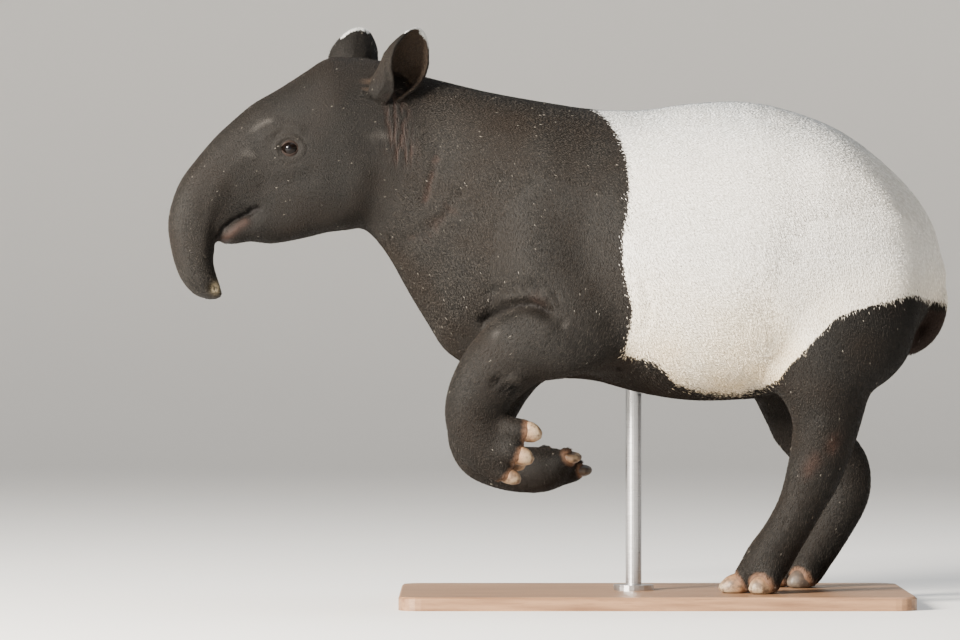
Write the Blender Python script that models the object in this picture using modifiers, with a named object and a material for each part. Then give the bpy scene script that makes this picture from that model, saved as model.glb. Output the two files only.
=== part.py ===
"""A Malayan tapir at life size, caught in a gallop: hind feet down, forelegs folded under the chest.

The flesh is modelled whole from lofted sections, fused into one skin, thinned, and then parted by
thin cuts at the joints. Metres, +Z up. The head points to -X and the left side faces -Y. The origin
is on the floor, under the middle of the whole.
"""

import math

import bmesh
import bpy
from mathutils import Matrix, Vector

# The clearance that touching pieces keep.
GAP = 0.0003

# The display stand.
BASE_LENGTH = 1.14
BASE_WIDTH = 0.66
BASE_THICKNESS = 0.03
BASE_CORNER = 0.05
BASE_CORNER_STEPS = 6
BASE_EDGE = 0.004
BASE_CENTRE_X = 0.215
ROD_RADIUS = 0.018
ROD_X = 0.17
ROD_TOP = 0.53
COLLAR_RADIUS = 0.045
COLLAR_HEIGHT = 0.012
ROD_SIDES = 24

# How far the head is turned to its left, and the stretch of neck that bends for it.
# The profile is drawn from the side, so the turned head is a little longer than drawn.
HEAD_TURN = math.radians(12)
HEAD_STRETCH = 0.012
TURN_START_X = -0.14
TURN_END_X = -0.42
TURN_PIVOT_X = -0.28

# Fineness of the lofts: the rings in each gap between sections, the points of a ring, how much squarer
# than an ellipse it is, and the turns in degrees and the depth of the dome that closes each end.
LOFT_STEPS = 4
RING_SIDES = 40
FULLNESS = 2.25
DOME_TURNS = (30, 55, 75)
DOME_DEPTH = 0.8

# Fineness of the fused flesh, and the times its points are drawn toward their neighbours.
VOXEL = 0.0055
LIGHT_SMOOTHING = 4
BLEND_SMOOTHING = 140
SMOOTHING_STEP = 0.5
FLESH_TRIANGLES = 5000
WELD = 0.00001

# Sections of the trunk, neck, head and proboscis: the top and bottom points in the middle plane as
# (x, z), the half width, and how much wider the upper half is than the lower.
RUMP = [
    ((0.862, 0.765), (0.848, 0.690), 0.070, 0.00),
    ((0.848, 0.836), (0.803, 0.608), 0.125, 0.05),
    ((0.803, 0.916), (0.764, 0.556), 0.185, 0.08),
    ((0.724, 0.997), (0.706, 0.520), 0.232, 0.08),
    ((0.634, 1.063), (0.630, 0.489), 0.262, 0.04),
]
BARREL = [
    ((0.533, 1.105), (0.533, 0.469), 0.284, -0.02),
    ((0.421, 1.129), (0.421, 0.458), 0.298, -0.06),
    ((0.297, 1.125), (0.297, 0.456), 0.302, -0.08),
    ((0.184, 1.110), (0.184, 0.473), 0.294, -0.06),
]
CHEST = [
    ((0.072, 1.113), (0.072, 0.502), 0.268, 0.02),
    ((-0.040, 1.130), (-0.052, 0.507), 0.238, 0.08),
    ((-0.142, 1.148), (-0.164, 0.520), 0.205, 0.08),
    ((-0.220, 1.166), (-0.247, 0.562), 0.178, 0.04),
]
NECK = [
    ((-0.265, 1.177), (-0.292, 0.628), 0.158, 0.00),
    ((-0.310, 1.189), (-0.337, 0.704), 0.140, -0.04),
    ((-0.360, 1.209), (-0.382, 0.784), 0.126, -0.06),
]
SKULL = [
    ((-0.418, 1.225), (-0.432, 0.838), 0.118, -0.10),
    ((-0.479, 1.229), (-0.477, 0.840), 0.116, -0.14),
    ((-0.522, 1.225), (-0.522, 0.838), 0.112, -0.10),
    ((-0.567, 1.196), (-0.562, 0.831), 0.105, -0.04),
    ((-0.605, 1.171), (-0.594, 0.822), 0.096, 0.02),
    ((-0.646, 1.146), (-0.625, 0.826), 0.084, 0.04),
    ((-0.689, 1.121), (-0.652, 0.836), 0.073, 0.06),
]
PROBOSCIS = [
    ((-0.729, 1.087), (-0.679, 0.852), 0.065, 0.04),
    ((-0.772, 1.047), (-0.700, 0.862), 0.059, 0.00),
    ((-0.812, 1.000), (-0.724, 0.865), 0.055, 0.00),
    ((-0.846, 0.955), (-0.751, 0.851), 0.052, 0.00),
    ((-0.866, 0.910), (-0.768, 0.831), 0.050, 0.00),
    ((-0.877, 0.862), (-0.772, 0.804), 0.048, 0.00),
    ((-0.875, 0.822), (-0.775, 0.777), 0.046, 0.00),
    ((-0.866, 0.775), (-0.773, 0.750), 0.044, 0.00),
    ((-0.850, 0.730), (-0.763, 0.723), 0.041, 0.00),
    ((-0.832, 0.706), (-0.757, 0.704), 0.034, 0.00),
]
JAW = [
    ((-0.765, 0.838), (-0.757, 0.816), 0.026, 0.00),
    ((-0.742, 0.862), (-0.735, 0.806), 0.042, 0.00),
    ((-0.700, 0.885), (-0.692, 0.812), 0.050, 0.00),
    ((-0.650, 0.910), (-0.645, 0.806), 0.058, 0.05),
    ((-0.590, 0.940), (-0.585, 0.812), 0.074, 0.10),
    ((-0.530, 0.970), (-0.525, 0.832), 0.088, 0.10),
    ((-0.470, 0.980), (-0.465, 0.838), 0.088, 0.06),
]

# Limbs, as (x, y, z) of the middle, the half thickness fore and aft, and the half thickness across.
# Left is -Y, and the photographed side.
HIND_LEFT = [
    (0.650, -0.120, 0.820, 0.150, 0.100),
    (0.640, -0.145, 0.700, 0.175, 0.118),
    (0.612, -0.152, 0.590, 0.165, 0.114),
    (0.592, -0.150, 0.500, 0.118, 0.098),
    (0.594, -0.147, 0.425, 0.083, 0.074),
    (0.583, -0.142, 0.350, 0.070, 0.058),
    (0.563, -0.138, 0.285, 0.062, 0.050),
    (0.535, -0.136, 0.220, 0.052, 0.045),
    (0.500, -0.135, 0.158, 0.050, 0.048),
    (0.466, -0.135, 0.105, 0.054, 0.056),
    (0.446, -0.135, 0.070, 0.050, 0.058),
]
HIND_RIGHT = [
    (0.650, 0.120, 0.820, 0.150, 0.100),
    (0.630, 0.145, 0.700, 0.180, 0.118),
    (0.592, 0.152, 0.590, 0.175, 0.114),
    (0.562, 0.150, 0.500, 0.132, 0.098),
    (0.567, 0.146, 0.425, 0.099, 0.076),
    (0.606, 0.140, 0.350, 0.076, 0.058),
    (0.652, 0.136, 0.300, 0.062, 0.050),
    (0.656, 0.134, 0.240, 0.056, 0.045),
    (0.622, 0.133, 0.170, 0.052, 0.046),
    (0.585, 0.133, 0.110, 0.050, 0.052),
    (0.560, 0.133, 0.070, 0.048, 0.056),
]
SHOULDER = [
    (0.030, -0.130, 1.000, 0.090, 0.060),
    (-0.010, -0.165, 0.880, 0.125, 0.080),
    (-0.010, -0.182, 0.760, 0.145, 0.088),
    (0.040, -0.192, 0.660, 0.120, 0.086),
    (0.070, -0.198, 0.600, 0.085, 0.078),
]
FOREARM_LEFT = [
    (0.095, -0.200, 0.592, 0.062, 0.066),
    (0.020, -0.206, 0.588, 0.080, 0.076),
    (-0.070, -0.204, 0.582, 0.087, 0.076),
    (-0.128, -0.192, 0.540, 0.084, 0.070),
    (-0.172, -0.178, 0.482, 0.074, 0.062),
    (-0.184, -0.166, 0.425, 0.072, 0.056),
    (-0.162, -0.160, 0.372, 0.074, 0.050),
    (-0.128, -0.158, 0.340, 0.066, 0.046),
]
FOREARM_RIGHT = [
    (0.072, 0.200, 0.592, 0.062, 0.066),
    (-0.018, 0.204, 0.588, 0.080, 0.074),
    (-0.092, 0.196, 0.548, 0.080, 0.072),
    (-0.144, 0.184, 0.476, 0.076, 0.066),
    (-0.176, 0.170, 0.401, 0.076, 0.060),
    (-0.162, 0.160, 0.340, 0.074, 0.056),
    (-0.108, 0.155, 0.302, 0.056, 0.056),
    (-0.040, 0.152, 0.296, 0.054, 0.060),
    (0.000, 0.150, 0.302, 0.046, 0.058),
]
TAIL = [
    (0.800, 0.000, 0.748, 0.024, 0.034),
    (0.846, 0.000, 0.716, 0.027, 0.034),
    (0.853, 0.000, 0.660, 0.024, 0.028),
    (0.838, 0.000, 0.614, 0.021, 0.024),
    (0.815, 0.000, 0.586, 0.018, 0.019),
    (0.787, 0.000, 0.567, 0.013, 0.014),
]
TAIL_SIDES = 20
TAIL_STEPS = 2

# The hind toes, from the middle of each foot: where the toe leaves the foot, the middle of its hoof
# and the way it points. A toe's hoof has a length, width and height.
HIND_FOOT_LEFT = (0.448, -0.135)
HIND_FOOT_RIGHT = (0.548, 0.133)
HIND_TOES = {
    "middle": ((0.000, 0.000), (-0.056, 0.000), (-1.0, 0.0), (0.080, 0.060, 0.058)),
    "outer": ((0.025, 0.020), (0.003, 0.047), (-0.9, 0.40), (0.072, 0.050, 0.054)),
    "inner": ((0.025, -0.020), (0.003, -0.047), (-0.9, -0.40), (0.072, 0.050, 0.054)),
}
HIND_HOOF_HEIGHT = 0.019
HIND_KNUCKLE_HEIGHT = 0.064
HIND_TOE_RADIUS = 0.033

# The fore toes: root, middle of the hoof, the way it points and the way its sole faces.
FORE_TOES_LEFT = {
    "fifth": ((-0.125, -0.176, 0.400), (-0.066, -0.196, 0.388), (0.86, -0.10, -0.50)),
    "fourth": ((-0.140, -0.172, 0.365), (-0.084, -0.188, 0.334), (0.80, -0.05, -0.60)),
    "third": ((-0.150, -0.158, 0.330), (-0.112, -0.164, 0.288), (0.76, 0.0, -0.65)),
    "second": ((-0.140, -0.135, 0.350), (-0.102, -0.116, 0.318), (0.80, 0.10, -0.55)),
}
FORE_SOLE_LEFT = (0.205, 0.87, 0.455)
FORE_TOES_RIGHT = {
    "fifth": ((-0.045, 0.182, 0.312), (-0.020, 0.226, 0.332), (0.65, 0.70, 0.30)),
    "fourth": ((-0.015, 0.172, 0.302), (0.030, 0.199, 0.316), (0.93, 0.35, 0.15)),
    "third": ((-0.005, 0.150, 0.296), (0.056, 0.150, 0.300), (1.0, 0.0, 0.05)),
    "second": ((-0.015, 0.128, 0.305), (0.032, 0.101, 0.330), (0.90, -0.30, 0.35)),
}
FORE_SOLE_RIGHT = (-0.10, -0.15, 1.0)
FORE_HOOF_LEFT = (0.060, 0.054, 0.044)
FORE_HOOF_RIGHT = (0.052, 0.052, 0.040)
FORE_TOE_RADIUS = 0.030

# Each toe, as shares of its hoof's length or of its own radius: how far its tip stops short of the
# hoof's middle, how high its knuckle arches, and how it tapers fore and aft and across.
TOE_SHORT = 0.18
TOE_ARCH = 0.2
TOE_TAPER = (0.86, 0.90)
HOOF_SEGMENTS = 9
HOOF_RINGS = 6
SOLE_SHARE = 0.26

UPRIGHT = (Vector((1, 0, 0)), Vector((0, 1, 0)), Vector((0, 0, 1)))

# The face, in the profile's (x, z).
EYE = (-0.620, 1.019)
EYE_RADIUS = 0.019
EYE_DEPTH = 0.0105
LID_THICKNESS = 0.0045
LID_LENGTH = 1.15
LID_OPENING = (0.0320, 0.0600, 0.0236)
NOSTRIL = (-0.786, 0.708)
NOSTRIL_SIDE = 0.026
NOSTRIL_RIM = (0.032, 0.030, 0.036)
NOSTRIL_PIT_SIDE = 0.038
NOSTRIL_PIT = (0.020, 0.028, 0.024)
MOUTH = [(-0.771, 0.780), (-0.773, 0.812), (-0.770, 0.838), (-0.753, 0.862), (-0.720, 0.880)]
MOUTH_WIDTH = 0.003
JAW_LINE = [(-0.640, 0.885), (-0.560, 0.885), (-0.500, 0.868), (-0.450, 0.830), (-0.425, 0.770)]
LIP_RADIUS = 0.011
LIP_RISE = 0.006
LIP_SIDES = (0.030, 0.033, 0.036)
BALL_SEGMENTS = 12
BALL_RINGS = 8

# Each ear: base, tip, the way its cup opens.
EARS = {
    "ear_left": ((-0.408, -0.086, 1.148), (-0.302, -0.136, 1.275), (0.72, -0.68, 0.05)),
    "ear_right": ((-0.454, 0.062, 1.150), (-0.452, 0.098, 1.2951), (-0.45, 0.88, 0.15)),
}
EAR_THICKNESS = 0.007
# Its cup from base to tip: the radius of its bend, the half angle of its arc, and how far its back
# stands behind the line from base to tip.
EAR_BASE = (0.036, 170, 0.000)
EAR_LOW = (0.042, 158, 0.002)
EAR_MIDDLE = (0.053, 112, 0.008)
EAR_HIGH = (0.057, 80, 0.003)
EAR_TOP = (0.055, 56, -0.006)
EAR_ROUNDING = 0.22
EAR_ACROSS = 8
EAR_ALONG = 8
EAR_SINK = 0.6

# Where the lofts' seams are smoothed away: middle and reach.
BLENDS = [
    ((0.70, -0.24, 0.78), 0.24),
    ((0.70, 0.24, 0.78), 0.24),
    ((-0.02, -0.22, 0.86), 0.25),
    ((-0.02, 0.22, 0.86), 0.25),
    ((0.10, -0.24, 0.62), 0.10),
    ((0.10, 0.24, 0.62), 0.10),
    ((0.50, -0.18, 0.46), 0.10),
    ((0.46, 0.18, 0.46), 0.10),
    ((0.86, 0.00, 0.73), 0.09),
    ((-0.60, -0.09, 0.90), 0.10),
    ((-0.60, 0.06, 0.90), 0.10),
]

# The planes that part the trunk, from above the animal to below it, as (x, z), and how far out they
# reach on each side.
HEAD_PLATE = ((-0.300, 1.260), (-0.425, 0.740))
NECK_PLATE = ((0.000, 1.200), (-0.370, 0.580))
BARREL_PLATE = ((0.200, 1.200), (0.200, 0.400))
RUMP_PLATE = ((0.440, 1.200), (0.440, 0.400))
SNOUT_PLATE = ((-0.695, 1.160), (-0.762, 0.852))
OUTSIDE = 0.45
FACE_SIDE = 0.25

# Where the legs leave the trunk: an arc over the top of each limb, and the way round its foot.
THIGH_ARC = ((0.665, 0.690), 0.205)
THIGH_FEET = ((0.960, 0.600), (0.960, 0.000), (0.330, 0.000), (0.330, 0.180), (0.440, 0.430))
THIGH_INSIDE = 0.058
ARM_ARC = ((0.000, 0.800), 0.150)
ARM_FEET = ((0.160, 0.580), (0.140, 0.400), (0.140, 0.200), (-0.300, 0.200), (-0.300, 0.520),
            (-0.258, 0.560), (-0.215, 0.606), (-0.160, 0.660))
ARM_INSIDE = 0.078
ARC_STEPS = 10

# The planes that part each limb.
ELBOW_PLATE = (ARM_FEET[-1], ARM_FEET[0])
WRIST_LEFT_PLATE = ((-0.300, 0.430), (-0.040, 0.440))
WRIST_RIGHT_PLATE = ((-0.300, 0.370), (-0.060, 0.400))
STIFLE_PLATE = ((0.400, 0.400), (0.780, 0.470))
HOCK_LEFT_PLATE = ((0.440, 0.330), (0.680, 0.265))
HOCK_RIGHT_PLATE = ((0.500, 0.330), (0.760, 0.255))

# A point near the middle of each piece of flesh.
PIECES = {
    "proboscis": (-0.80, -0.10, 0.90),
    "lower_jaw": (-0.60, -0.07, 0.86),
    "head": (-0.55, -0.05, 1.02),
    "neck": (-0.25, 0.00, 0.92),
    "chest": (0.00, 0.00, 0.85),
    "barrel": (0.32, 0.00, 0.79),
    "rump": (0.64, 0.00, 0.80),
    "upper_arm_left": (0.00, -0.20, 0.78),
    "upper_arm_right": (0.00, 0.20, 0.78),
    "forearm_left": (-0.07, -0.20, 0.53),
    "forearm_right": (-0.07, 0.20, 0.53),
    "forefoot_left": (-0.15, -0.16, 0.36),
    "forefoot_right": (-0.10, 0.16, 0.32),
    "thigh_left": (0.65, -0.18, 0.64),
    "thigh_right": (0.65, 0.18, 0.64),
    "shank_left": (0.57, -0.14, 0.36),
    "shank_right": (0.60, 0.14, 0.36),
    "hind_foot_left": (0.50, -0.14, 0.16),
    "hind_foot_right": (0.59, 0.14, 0.16),
}

# Edges sharper than this stay sharp.
SHARP_ANGLE = math.radians(40)

# Colours, as red, green, blue and opacity.
COAT_BLACK = (0.020, 0.017, 0.015, 1)
COAT_WHITE = (0.62, 0.60, 0.56, 1)
HOOF_TAN = (0.42, 0.28, 0.16, 1)
EYE_BROWN = (0.012, 0.007, 0.005, 1)
WOOD = (0.20, 0.11, 0.05, 1)
STEEL = (0.55, 0.56, 0.58, 1)


def clear_scene():
    """Removes whatever the file holds."""
    for old in list(bpy.data.objects):
        bpy.data.objects.remove(old)


def new_object(name, shape, collection):
    """An object from a bmesh, which is used up."""
    mesh = bpy.data.meshes.new(name)
    shape.to_mesh(mesh)
    shape.free()
    obj = bpy.data.objects.new(name, mesh)
    collection.objects.link(obj)
    return obj


def bake(obj):
    """Applies the object's modifiers."""
    graph = bpy.context.evaluated_depsgraph_get()
    mesh = bpy.data.meshes.new_from_object(obj.evaluated_get(graph))
    obj.modifiers.clear()
    obj.data = mesh
    return obj


def combine(obj, other, operation, solver="EXACT"):
    """Joins another solid to an object, or cuts it away, and drops the other."""
    boolean = obj.modifiers.new(operation.lower(), "BOOLEAN")
    boolean.operation = operation
    boolean.object = other
    boolean.solver = solver
    bake(obj)
    bpy.data.objects.remove(other)


def carve(flesh, cutter):
    """Cuts the flesh. The exact solver leaves the head open where the mouth's cut meets the others."""
    combine(flesh, cutter, "DIFFERENCE", "MANIFOLD")


def catmull_rom(rows, steps):
    """The rows with steps rows in each gap, on a Catmull-Rom curve through them."""
    count = len(rows[0])
    before = [2 * rows[0][i] - rows[1][i] for i in range(count)]
    after = [2 * rows[-1][i] - rows[-2][i] for i in range(count)]
    padded = [before, *rows, after]
    found = []
    for a, b, c, d in zip(padded, padded[1:], padded[2:], padded[3:]):
        for step in range(steps):
            t = step / steps
            found.append([
                b[i] + 0.5 * t * (c[i] - a[i] + t * (2 * a[i] - 5 * b[i] + 4 * c[i] - d[i]
                                  + t * (3 * (b[i] - c[i]) + d[i] - a[i])))
                for i in range(count)
            ])
    found.append(list(rows[-1]))
    return found


def dome(ring, neighbour):
    """Shrinking copies of an end ring, away from its neighbour, that close a loft roundly."""
    middle = sum(ring, Vector()) / len(ring)
    away = (middle - sum(neighbour, Vector()) / len(neighbour)).normalized()
    depth = min((v - middle).length for v in ring) * DOME_DEPTH
    return [
        [middle + (v - middle) * math.cos(turn) + away * depth * math.sin(turn) for v in ring]
        for turn in map(math.radians, DOME_TURNS)
    ]


def loft(name, rings, collection):
    """A closed solid through rings of points, with domed ends."""
    rings = [*reversed(dome(rings[0], rings[1])), *rings, *dome(rings[-1], rings[-2])]
    shape = bmesh.new()
    loops = [[shape.verts.new(point) for point in ring] for ring in rings]
    sides = len(loops[0])
    for near, far in zip(loops, loops[1:]):
        for i in range(sides):
            shape.faces.new((near[i], near[(i + 1) % sides], far[(i + 1) % sides], far[i]))
    shape.faces.new(loops[0])
    shape.faces.new(loops[-1])
    bmesh.ops.recalc_face_normals(shape, faces=shape.faces)
    return new_object(name, shape, collection)


def fuller(value):
    """Swells a sine or cosine, which makes a ring a little squarer than an ellipse."""
    return math.copysign(abs(value) ** (2 / FULLNESS), value)


def body_loft(name, sections, collection):
    """A loft through sections that each span a top and a bottom point of the middle plane."""
    rows = [(*top, *bottom, half, wider) for top, bottom, half, wider in sections]
    rings = []
    for top_x, top_z, bottom_x, bottom_z, half, wider in catmull_rom(rows, LOFT_STEPS):
        middle = Vector(((top_x + bottom_x) / 2, 0, (top_z + bottom_z) / 2))
        up = Vector(((top_x - bottom_x) / 2, 0, (top_z - bottom_z) / 2))
        ring = []
        for i in range(RING_SIDES):
            turn = 2 * math.pi * i / RING_SIDES
            out = half * fuller(math.sin(turn)) * (1 + wider * math.cos(turn))
            ring.append(middle + up * fuller(math.cos(turn)) + Vector((0, out, 0)))
        rings.append(ring)
    return loft(name, rings, collection)


def limb_loft(name, rows, collection, steps=LOFT_STEPS, sides=RING_SIDES):
    """A loft along a limb's middle line, each ring square to the line."""
    rows = catmull_rom(rows, steps)
    middles = [Vector(row[:3]) for row in rows]
    rings = []
    for i, (x, y, z, fore, side) in enumerate(rows):
        along = middles[min(i + 1, len(rows) - 1)] - middles[max(i - 1, 0)]
        front = along.cross(Vector((0, 1, 0))).normalized()
        across = front.cross(along).normalized()
        rings.append([
            middles[i] + front * fore * math.cos(turn) + across * side * math.sin(turn)
            for turn in (2 * math.pi * k / sides for k in range(sides))
        ])
    return loft(name, rings, collection)


def mirrored(rows):
    """Limb rows on the other side."""
    return [(x, -y, z, fore, side) for x, y, z, fore, side in rows]


def turned(point):
    """Where a point of the straight animal goes as the neck bends and the head turns."""
    share = (TURN_START_X - point.x) / (TURN_START_X - TURN_END_X)
    share = min(max(share, 0), 1)
    share = share * share * (3 - 2 * share)
    pivot = Vector((TURN_PIVOT_X, 0, 0))
    arm = point - pivot
    arm.x *= 1 + HEAD_STRETCH * share
    return pivot + Matrix.Rotation(HEAD_TURN * share, 3, "Z") @ arm


def turn_head(obj):
    for v in obj.data.vertices:
        v.co = turned(v.co)
    return obj


def toe_list():
    """Every toe as name, root, hoof middle, pointing way, sole way, hoof size and toe radius."""
    found = []
    for leg, foot, side in (("hind_left", HIND_FOOT_LEFT, -1), ("hind_right", HIND_FOOT_RIGHT, 1)):
        for toe, (root, middle, way, size) in HIND_TOES.items():
            found.append((
                f"hoof_{leg}_{toe}",
                Vector((foot[0] + root[0], foot[1] + side * root[1],
                        BASE_THICKNESS + HIND_KNUCKLE_HEIGHT)),
                Vector((foot[0] + middle[0], foot[1] + side * middle[1],
                        BASE_THICKNESS + HIND_HOOF_HEIGHT)),
                Vector((way[0], side * way[1], 0)).normalized(),
                Vector((0, 0, -1)),
                size,
                HIND_TOE_RADIUS,
            ))
    for leg, toes, sole, size in (
        ("fore_left", FORE_TOES_LEFT, FORE_SOLE_LEFT, FORE_HOOF_LEFT),
        ("fore_right", FORE_TOES_RIGHT, FORE_SOLE_RIGHT, FORE_HOOF_RIGHT),
    ):
        for toe, (root, middle, way) in toes.items():
            found.append((
                f"hoof_{leg}_{toe}", Vector(root), Vector(middle), Vector(way).normalized(),
                Vector(sole).normalized(), size, FORE_TOE_RADIUS,
            ))
    return found


def ball(name, middle, axes, sizes, collection, segments=BALL_SEGMENTS, rings=BALL_RINGS):
    """A stretched ball: its three axes are unit vectors, its sizes full lengths."""
    shape = bmesh.new()
    bmesh.ops.create_uvsphere(shape, u_segments=segments, v_segments=rings, radius=0.5)
    frame = Matrix([axis * size for axis, size in zip(axes, sizes)]).transposed()
    bmesh.ops.transform(shape, matrix=Matrix.Translation(middle) @ frame.to_4x4(), verts=shape.verts)
    bmesh.ops.recalc_face_normals(shape, faces=shape.faces)
    return new_object(name, shape, collection)


def frame_of(way, sole):
    """Unit axes along a pointing way, across it and away from a sole."""
    across = sole.cross(way).normalized()
    return way, across, way.cross(across).normalized()


def hoof(toe, collection, growth=0.0):
    """A rounded hoof with a flat sole. It can be grown, to cut its bed in the toe."""
    name, _, middle, way, sole, size, _ = toe
    sizes = [length + 2 * growth for length in size]
    axes = frame_of(way, sole)
    obj = ball(name, middle, axes, sizes, collection, HOOF_SEGMENTS, HOOF_RINGS)
    shape = bmesh.new()
    shape.from_mesh(obj.data)
    if "_hind_" in name:
        level = Vector((middle.x, middle.y, BASE_THICKNESS + GAP - growth))
    else:
        level = middle + sole * (SOLE_SHARE * size[2] + growth)
    everything = shape.verts[:] + shape.edges[:] + shape.faces[:]
    bmesh.ops.bisect_plane(shape, geom=everything, plane_co=level, plane_no=sole, clear_outer=True)
    edge = [e for e in shape.edges if e.is_boundary]
    bmesh.ops.contextual_create(shape, geom=edge)
    bmesh.ops.recalc_face_normals(shape, faces=shape.faces)
    shape.to_mesh(obj.data)
    shape.free()
    return obj


def toe_loft(toe, collection):
    name, root, middle, way, sole, size, radius = toe
    tip = middle - way * size[0] * TOE_SHORT
    knuckle = (root + tip) / 2 - sole * radius * TOE_ARCH
    fore, side = TOE_TAPER
    rows = [(*root, radius, radius), (*knuckle, radius, radius), (*tip, radius * fore, radius * side)]
    return limb_loft("toe_" + name, rows, collection)


def build_flesh(collection):
    """The whole flesh as lofts that overlap."""
    body = RUMP + BARREL + CHEST + NECK + SKULL + PROBOSCIS
    turn_head(body_loft("trunk", body, collection))
    turn_head(body_loft("jaw", JAW, collection))
    for side in (-1, 1):
        lip = [(x, side * y, z + LIP_RISE, LIP_RADIUS, LIP_RADIUS)
               for (x, z), y in zip(MOUTH[2:], LIP_SIDES)]
        turn_head(limb_loft("lip", lip, collection))
        rim = Vector((NOSTRIL[0], side * NOSTRIL_SIDE, NOSTRIL[1]))
        turn_head(ball("nostril_rim", rim, UPRIGHT, NOSTRIL_RIM, collection))
    limb_loft("hind_left", HIND_LEFT, collection)
    limb_loft("hind_right", HIND_RIGHT, collection)
    limb_loft("shoulder_left", SHOULDER, collection)
    limb_loft("shoulder_right", mirrored(SHOULDER), collection)
    limb_loft("forearm_left", FOREARM_LEFT, collection)
    limb_loft("forearm_right", FOREARM_RIGHT, collection)
    for toe in toe_list():
        toe_loft(toe, collection)


def joined(collection, name, target):
    """One object that holds every mesh of a collection."""
    shape = bmesh.new()
    for obj in list(collection.objects):
        shape.from_mesh(obj.data)
        bpy.data.objects.remove(obj)
    return new_object(name, shape, target)


def smooth_skin(obj):
    """Smooths the whole skin lightly, and the seams of the lofts until they are gone."""
    shape = bmesh.new()
    shape.from_mesh(obj.data)
    seams = [v for v in shape.verts
             if any((v.co - Vector(middle)).length < reach for middle, reach in BLENDS)]
    for points, times in ((shape.verts, LIGHT_SMOOTHING), (seams, BLEND_SMOOTHING)):
        for _ in range(times):
            bmesh.ops.smooth_vert(shape, verts=points, factor=SMOOTHING_STEP, use_axis_x=True,
                                  use_axis_y=True, use_axis_z=True)
    shape.to_mesh(obj.data)
    shape.free()


def fuse(obj):
    """Fuses the overlapping lofts into one even skin, smooths it and thins its faces."""
    remesh = obj.modifiers.new("fuse", "REMESH")
    remesh.mode = "VOXEL"
    remesh.voxel_size = VOXEL
    bake(obj)
    smooth_skin(obj)
    faces = sum(len(p.vertices) - 2 for p in obj.data.polygons)
    thin = obj.modifiers.new("thin", "DECIMATE")
    thin.ratio = FLESH_TRIANGLES / faces
    thin.use_collapse_triangulate = True
    bake(obj)


def prism(name, outline, y_from, y_to, collection):
    """A solid with an outline of (x, z) points, from one y to another."""
    curve = bpy.data.curves.new(name, "CURVE")
    curve.dimensions = "2D"
    curve.fill_mode = "BOTH"
    curve.extrude = (y_to - y_from) / 2
    spline = curve.splines.new("POLY")
    spline.points.add(len(outline) - 1)
    for place, (x, z) in zip(spline.points, outline):
        place.co = (x, z, 0, 1)
    spline.use_cyclic_u = True
    flat = bpy.data.objects.new(name, curve)
    flat.matrix_world = (Matrix.Translation((0, (y_from + y_to) / 2, 0))
                         @ Matrix.Rotation(math.pi / 2, 4, "X"))
    collection.objects.link(flat)
    graph = bpy.context.evaluated_depsgraph_get()
    graph.update()
    mesh = bpy.data.meshes.new_from_object(flat.evaluated_get(graph))
    shape = bmesh.new()
    shape.from_mesh(mesh)
    bmesh.ops.transform(shape, matrix=flat.matrix_world, verts=shape.verts)
    bmesh.ops.remove_doubles(shape, verts=shape.verts, dist=WELD)
    bmesh.ops.recalc_face_normals(shape, faces=shape.faces)
    bpy.data.objects.remove(flat)
    return new_object(name, shape, collection)


def plate(name, start, end, y_from, y_to, collection):
    """A saw cut: a plate as thin as the clearance, from one (x, z) point to another."""
    start = Vector((start[0], 0, start[1]))
    end = Vector((end[0], 0, end[1]))
    along = end - start
    shape = bmesh.new()
    bmesh.ops.create_cube(shape, size=1)
    lift = Vector((-along.z, 0, along.x)).normalized()
    frame = Matrix([along, Vector((0, y_to - y_from, 0)), lift * GAP]).transposed()
    middle = (start + end) / 2 + Vector((0, (y_from + y_to) / 2, 0))
    bmesh.ops.transform(shape, matrix=Matrix.Translation(middle) @ frame.to_4x4(), verts=shape.verts)
    bmesh.ops.recalc_face_normals(shape, faces=shape.faces)
    return new_object(name, shape, collection)


def ribbon(name, points, widths, y_from, y_to, collection):
    """A cut along a bent line of (x, z) points, with a width at each point."""
    sides = ([], [])
    for i, (x, z) in enumerate(points):
        before = Vector(points[max(i - 1, 0)])
        after = Vector(points[min(i + 1, len(points) - 1)])
        along = (after - before).normalized()
        out = Vector((-along.y, along.x)) * widths[i] / 2
        sides[0].append((x + out.x, z + out.y))
        sides[1].append((x - out.x, z - out.y))
    return prism(name, sides[0] + sides[1][::-1], y_from, y_to, collection)


def leg_region(name, centre, radius, feet, y_from, y_to, collection):
    """The prism that a leg is parted by: an arc over its top and then the points of feet."""
    arc = [(centre[0] - radius * math.cos(turn), centre[1] + radius * math.sin(turn))
           for turn in (math.pi * i / ARC_STEPS for i in range(ARC_STEPS + 1))]
    return prism(name, arc + list(feet), y_from, y_to, collection)


def skin_point(flesh, x, z, side):
    """The place on the turned head beside a profile point, and the way that the skin faces."""
    start = turned(Vector((x, side * OUTSIDE, z)))
    toward = (turned(Vector((x, 0, z))) - start).normalized()
    hit, place, normal, _ = flesh.ray_cast(start, toward)
    return place, normal


def eye_frame(flesh, side):
    """The middle of an eyeball, and its axes: forward, outward and up."""
    place, outward = skin_point(flesh, EYE[0], EYE[1], side)
    forward = (outward.cross(Vector((0, 0, 1))) * -side).normalized()
    up = (forward.cross(outward) * -side).normalized()
    return place - outward * EYE_DEPTH, (forward, outward, up)


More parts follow.
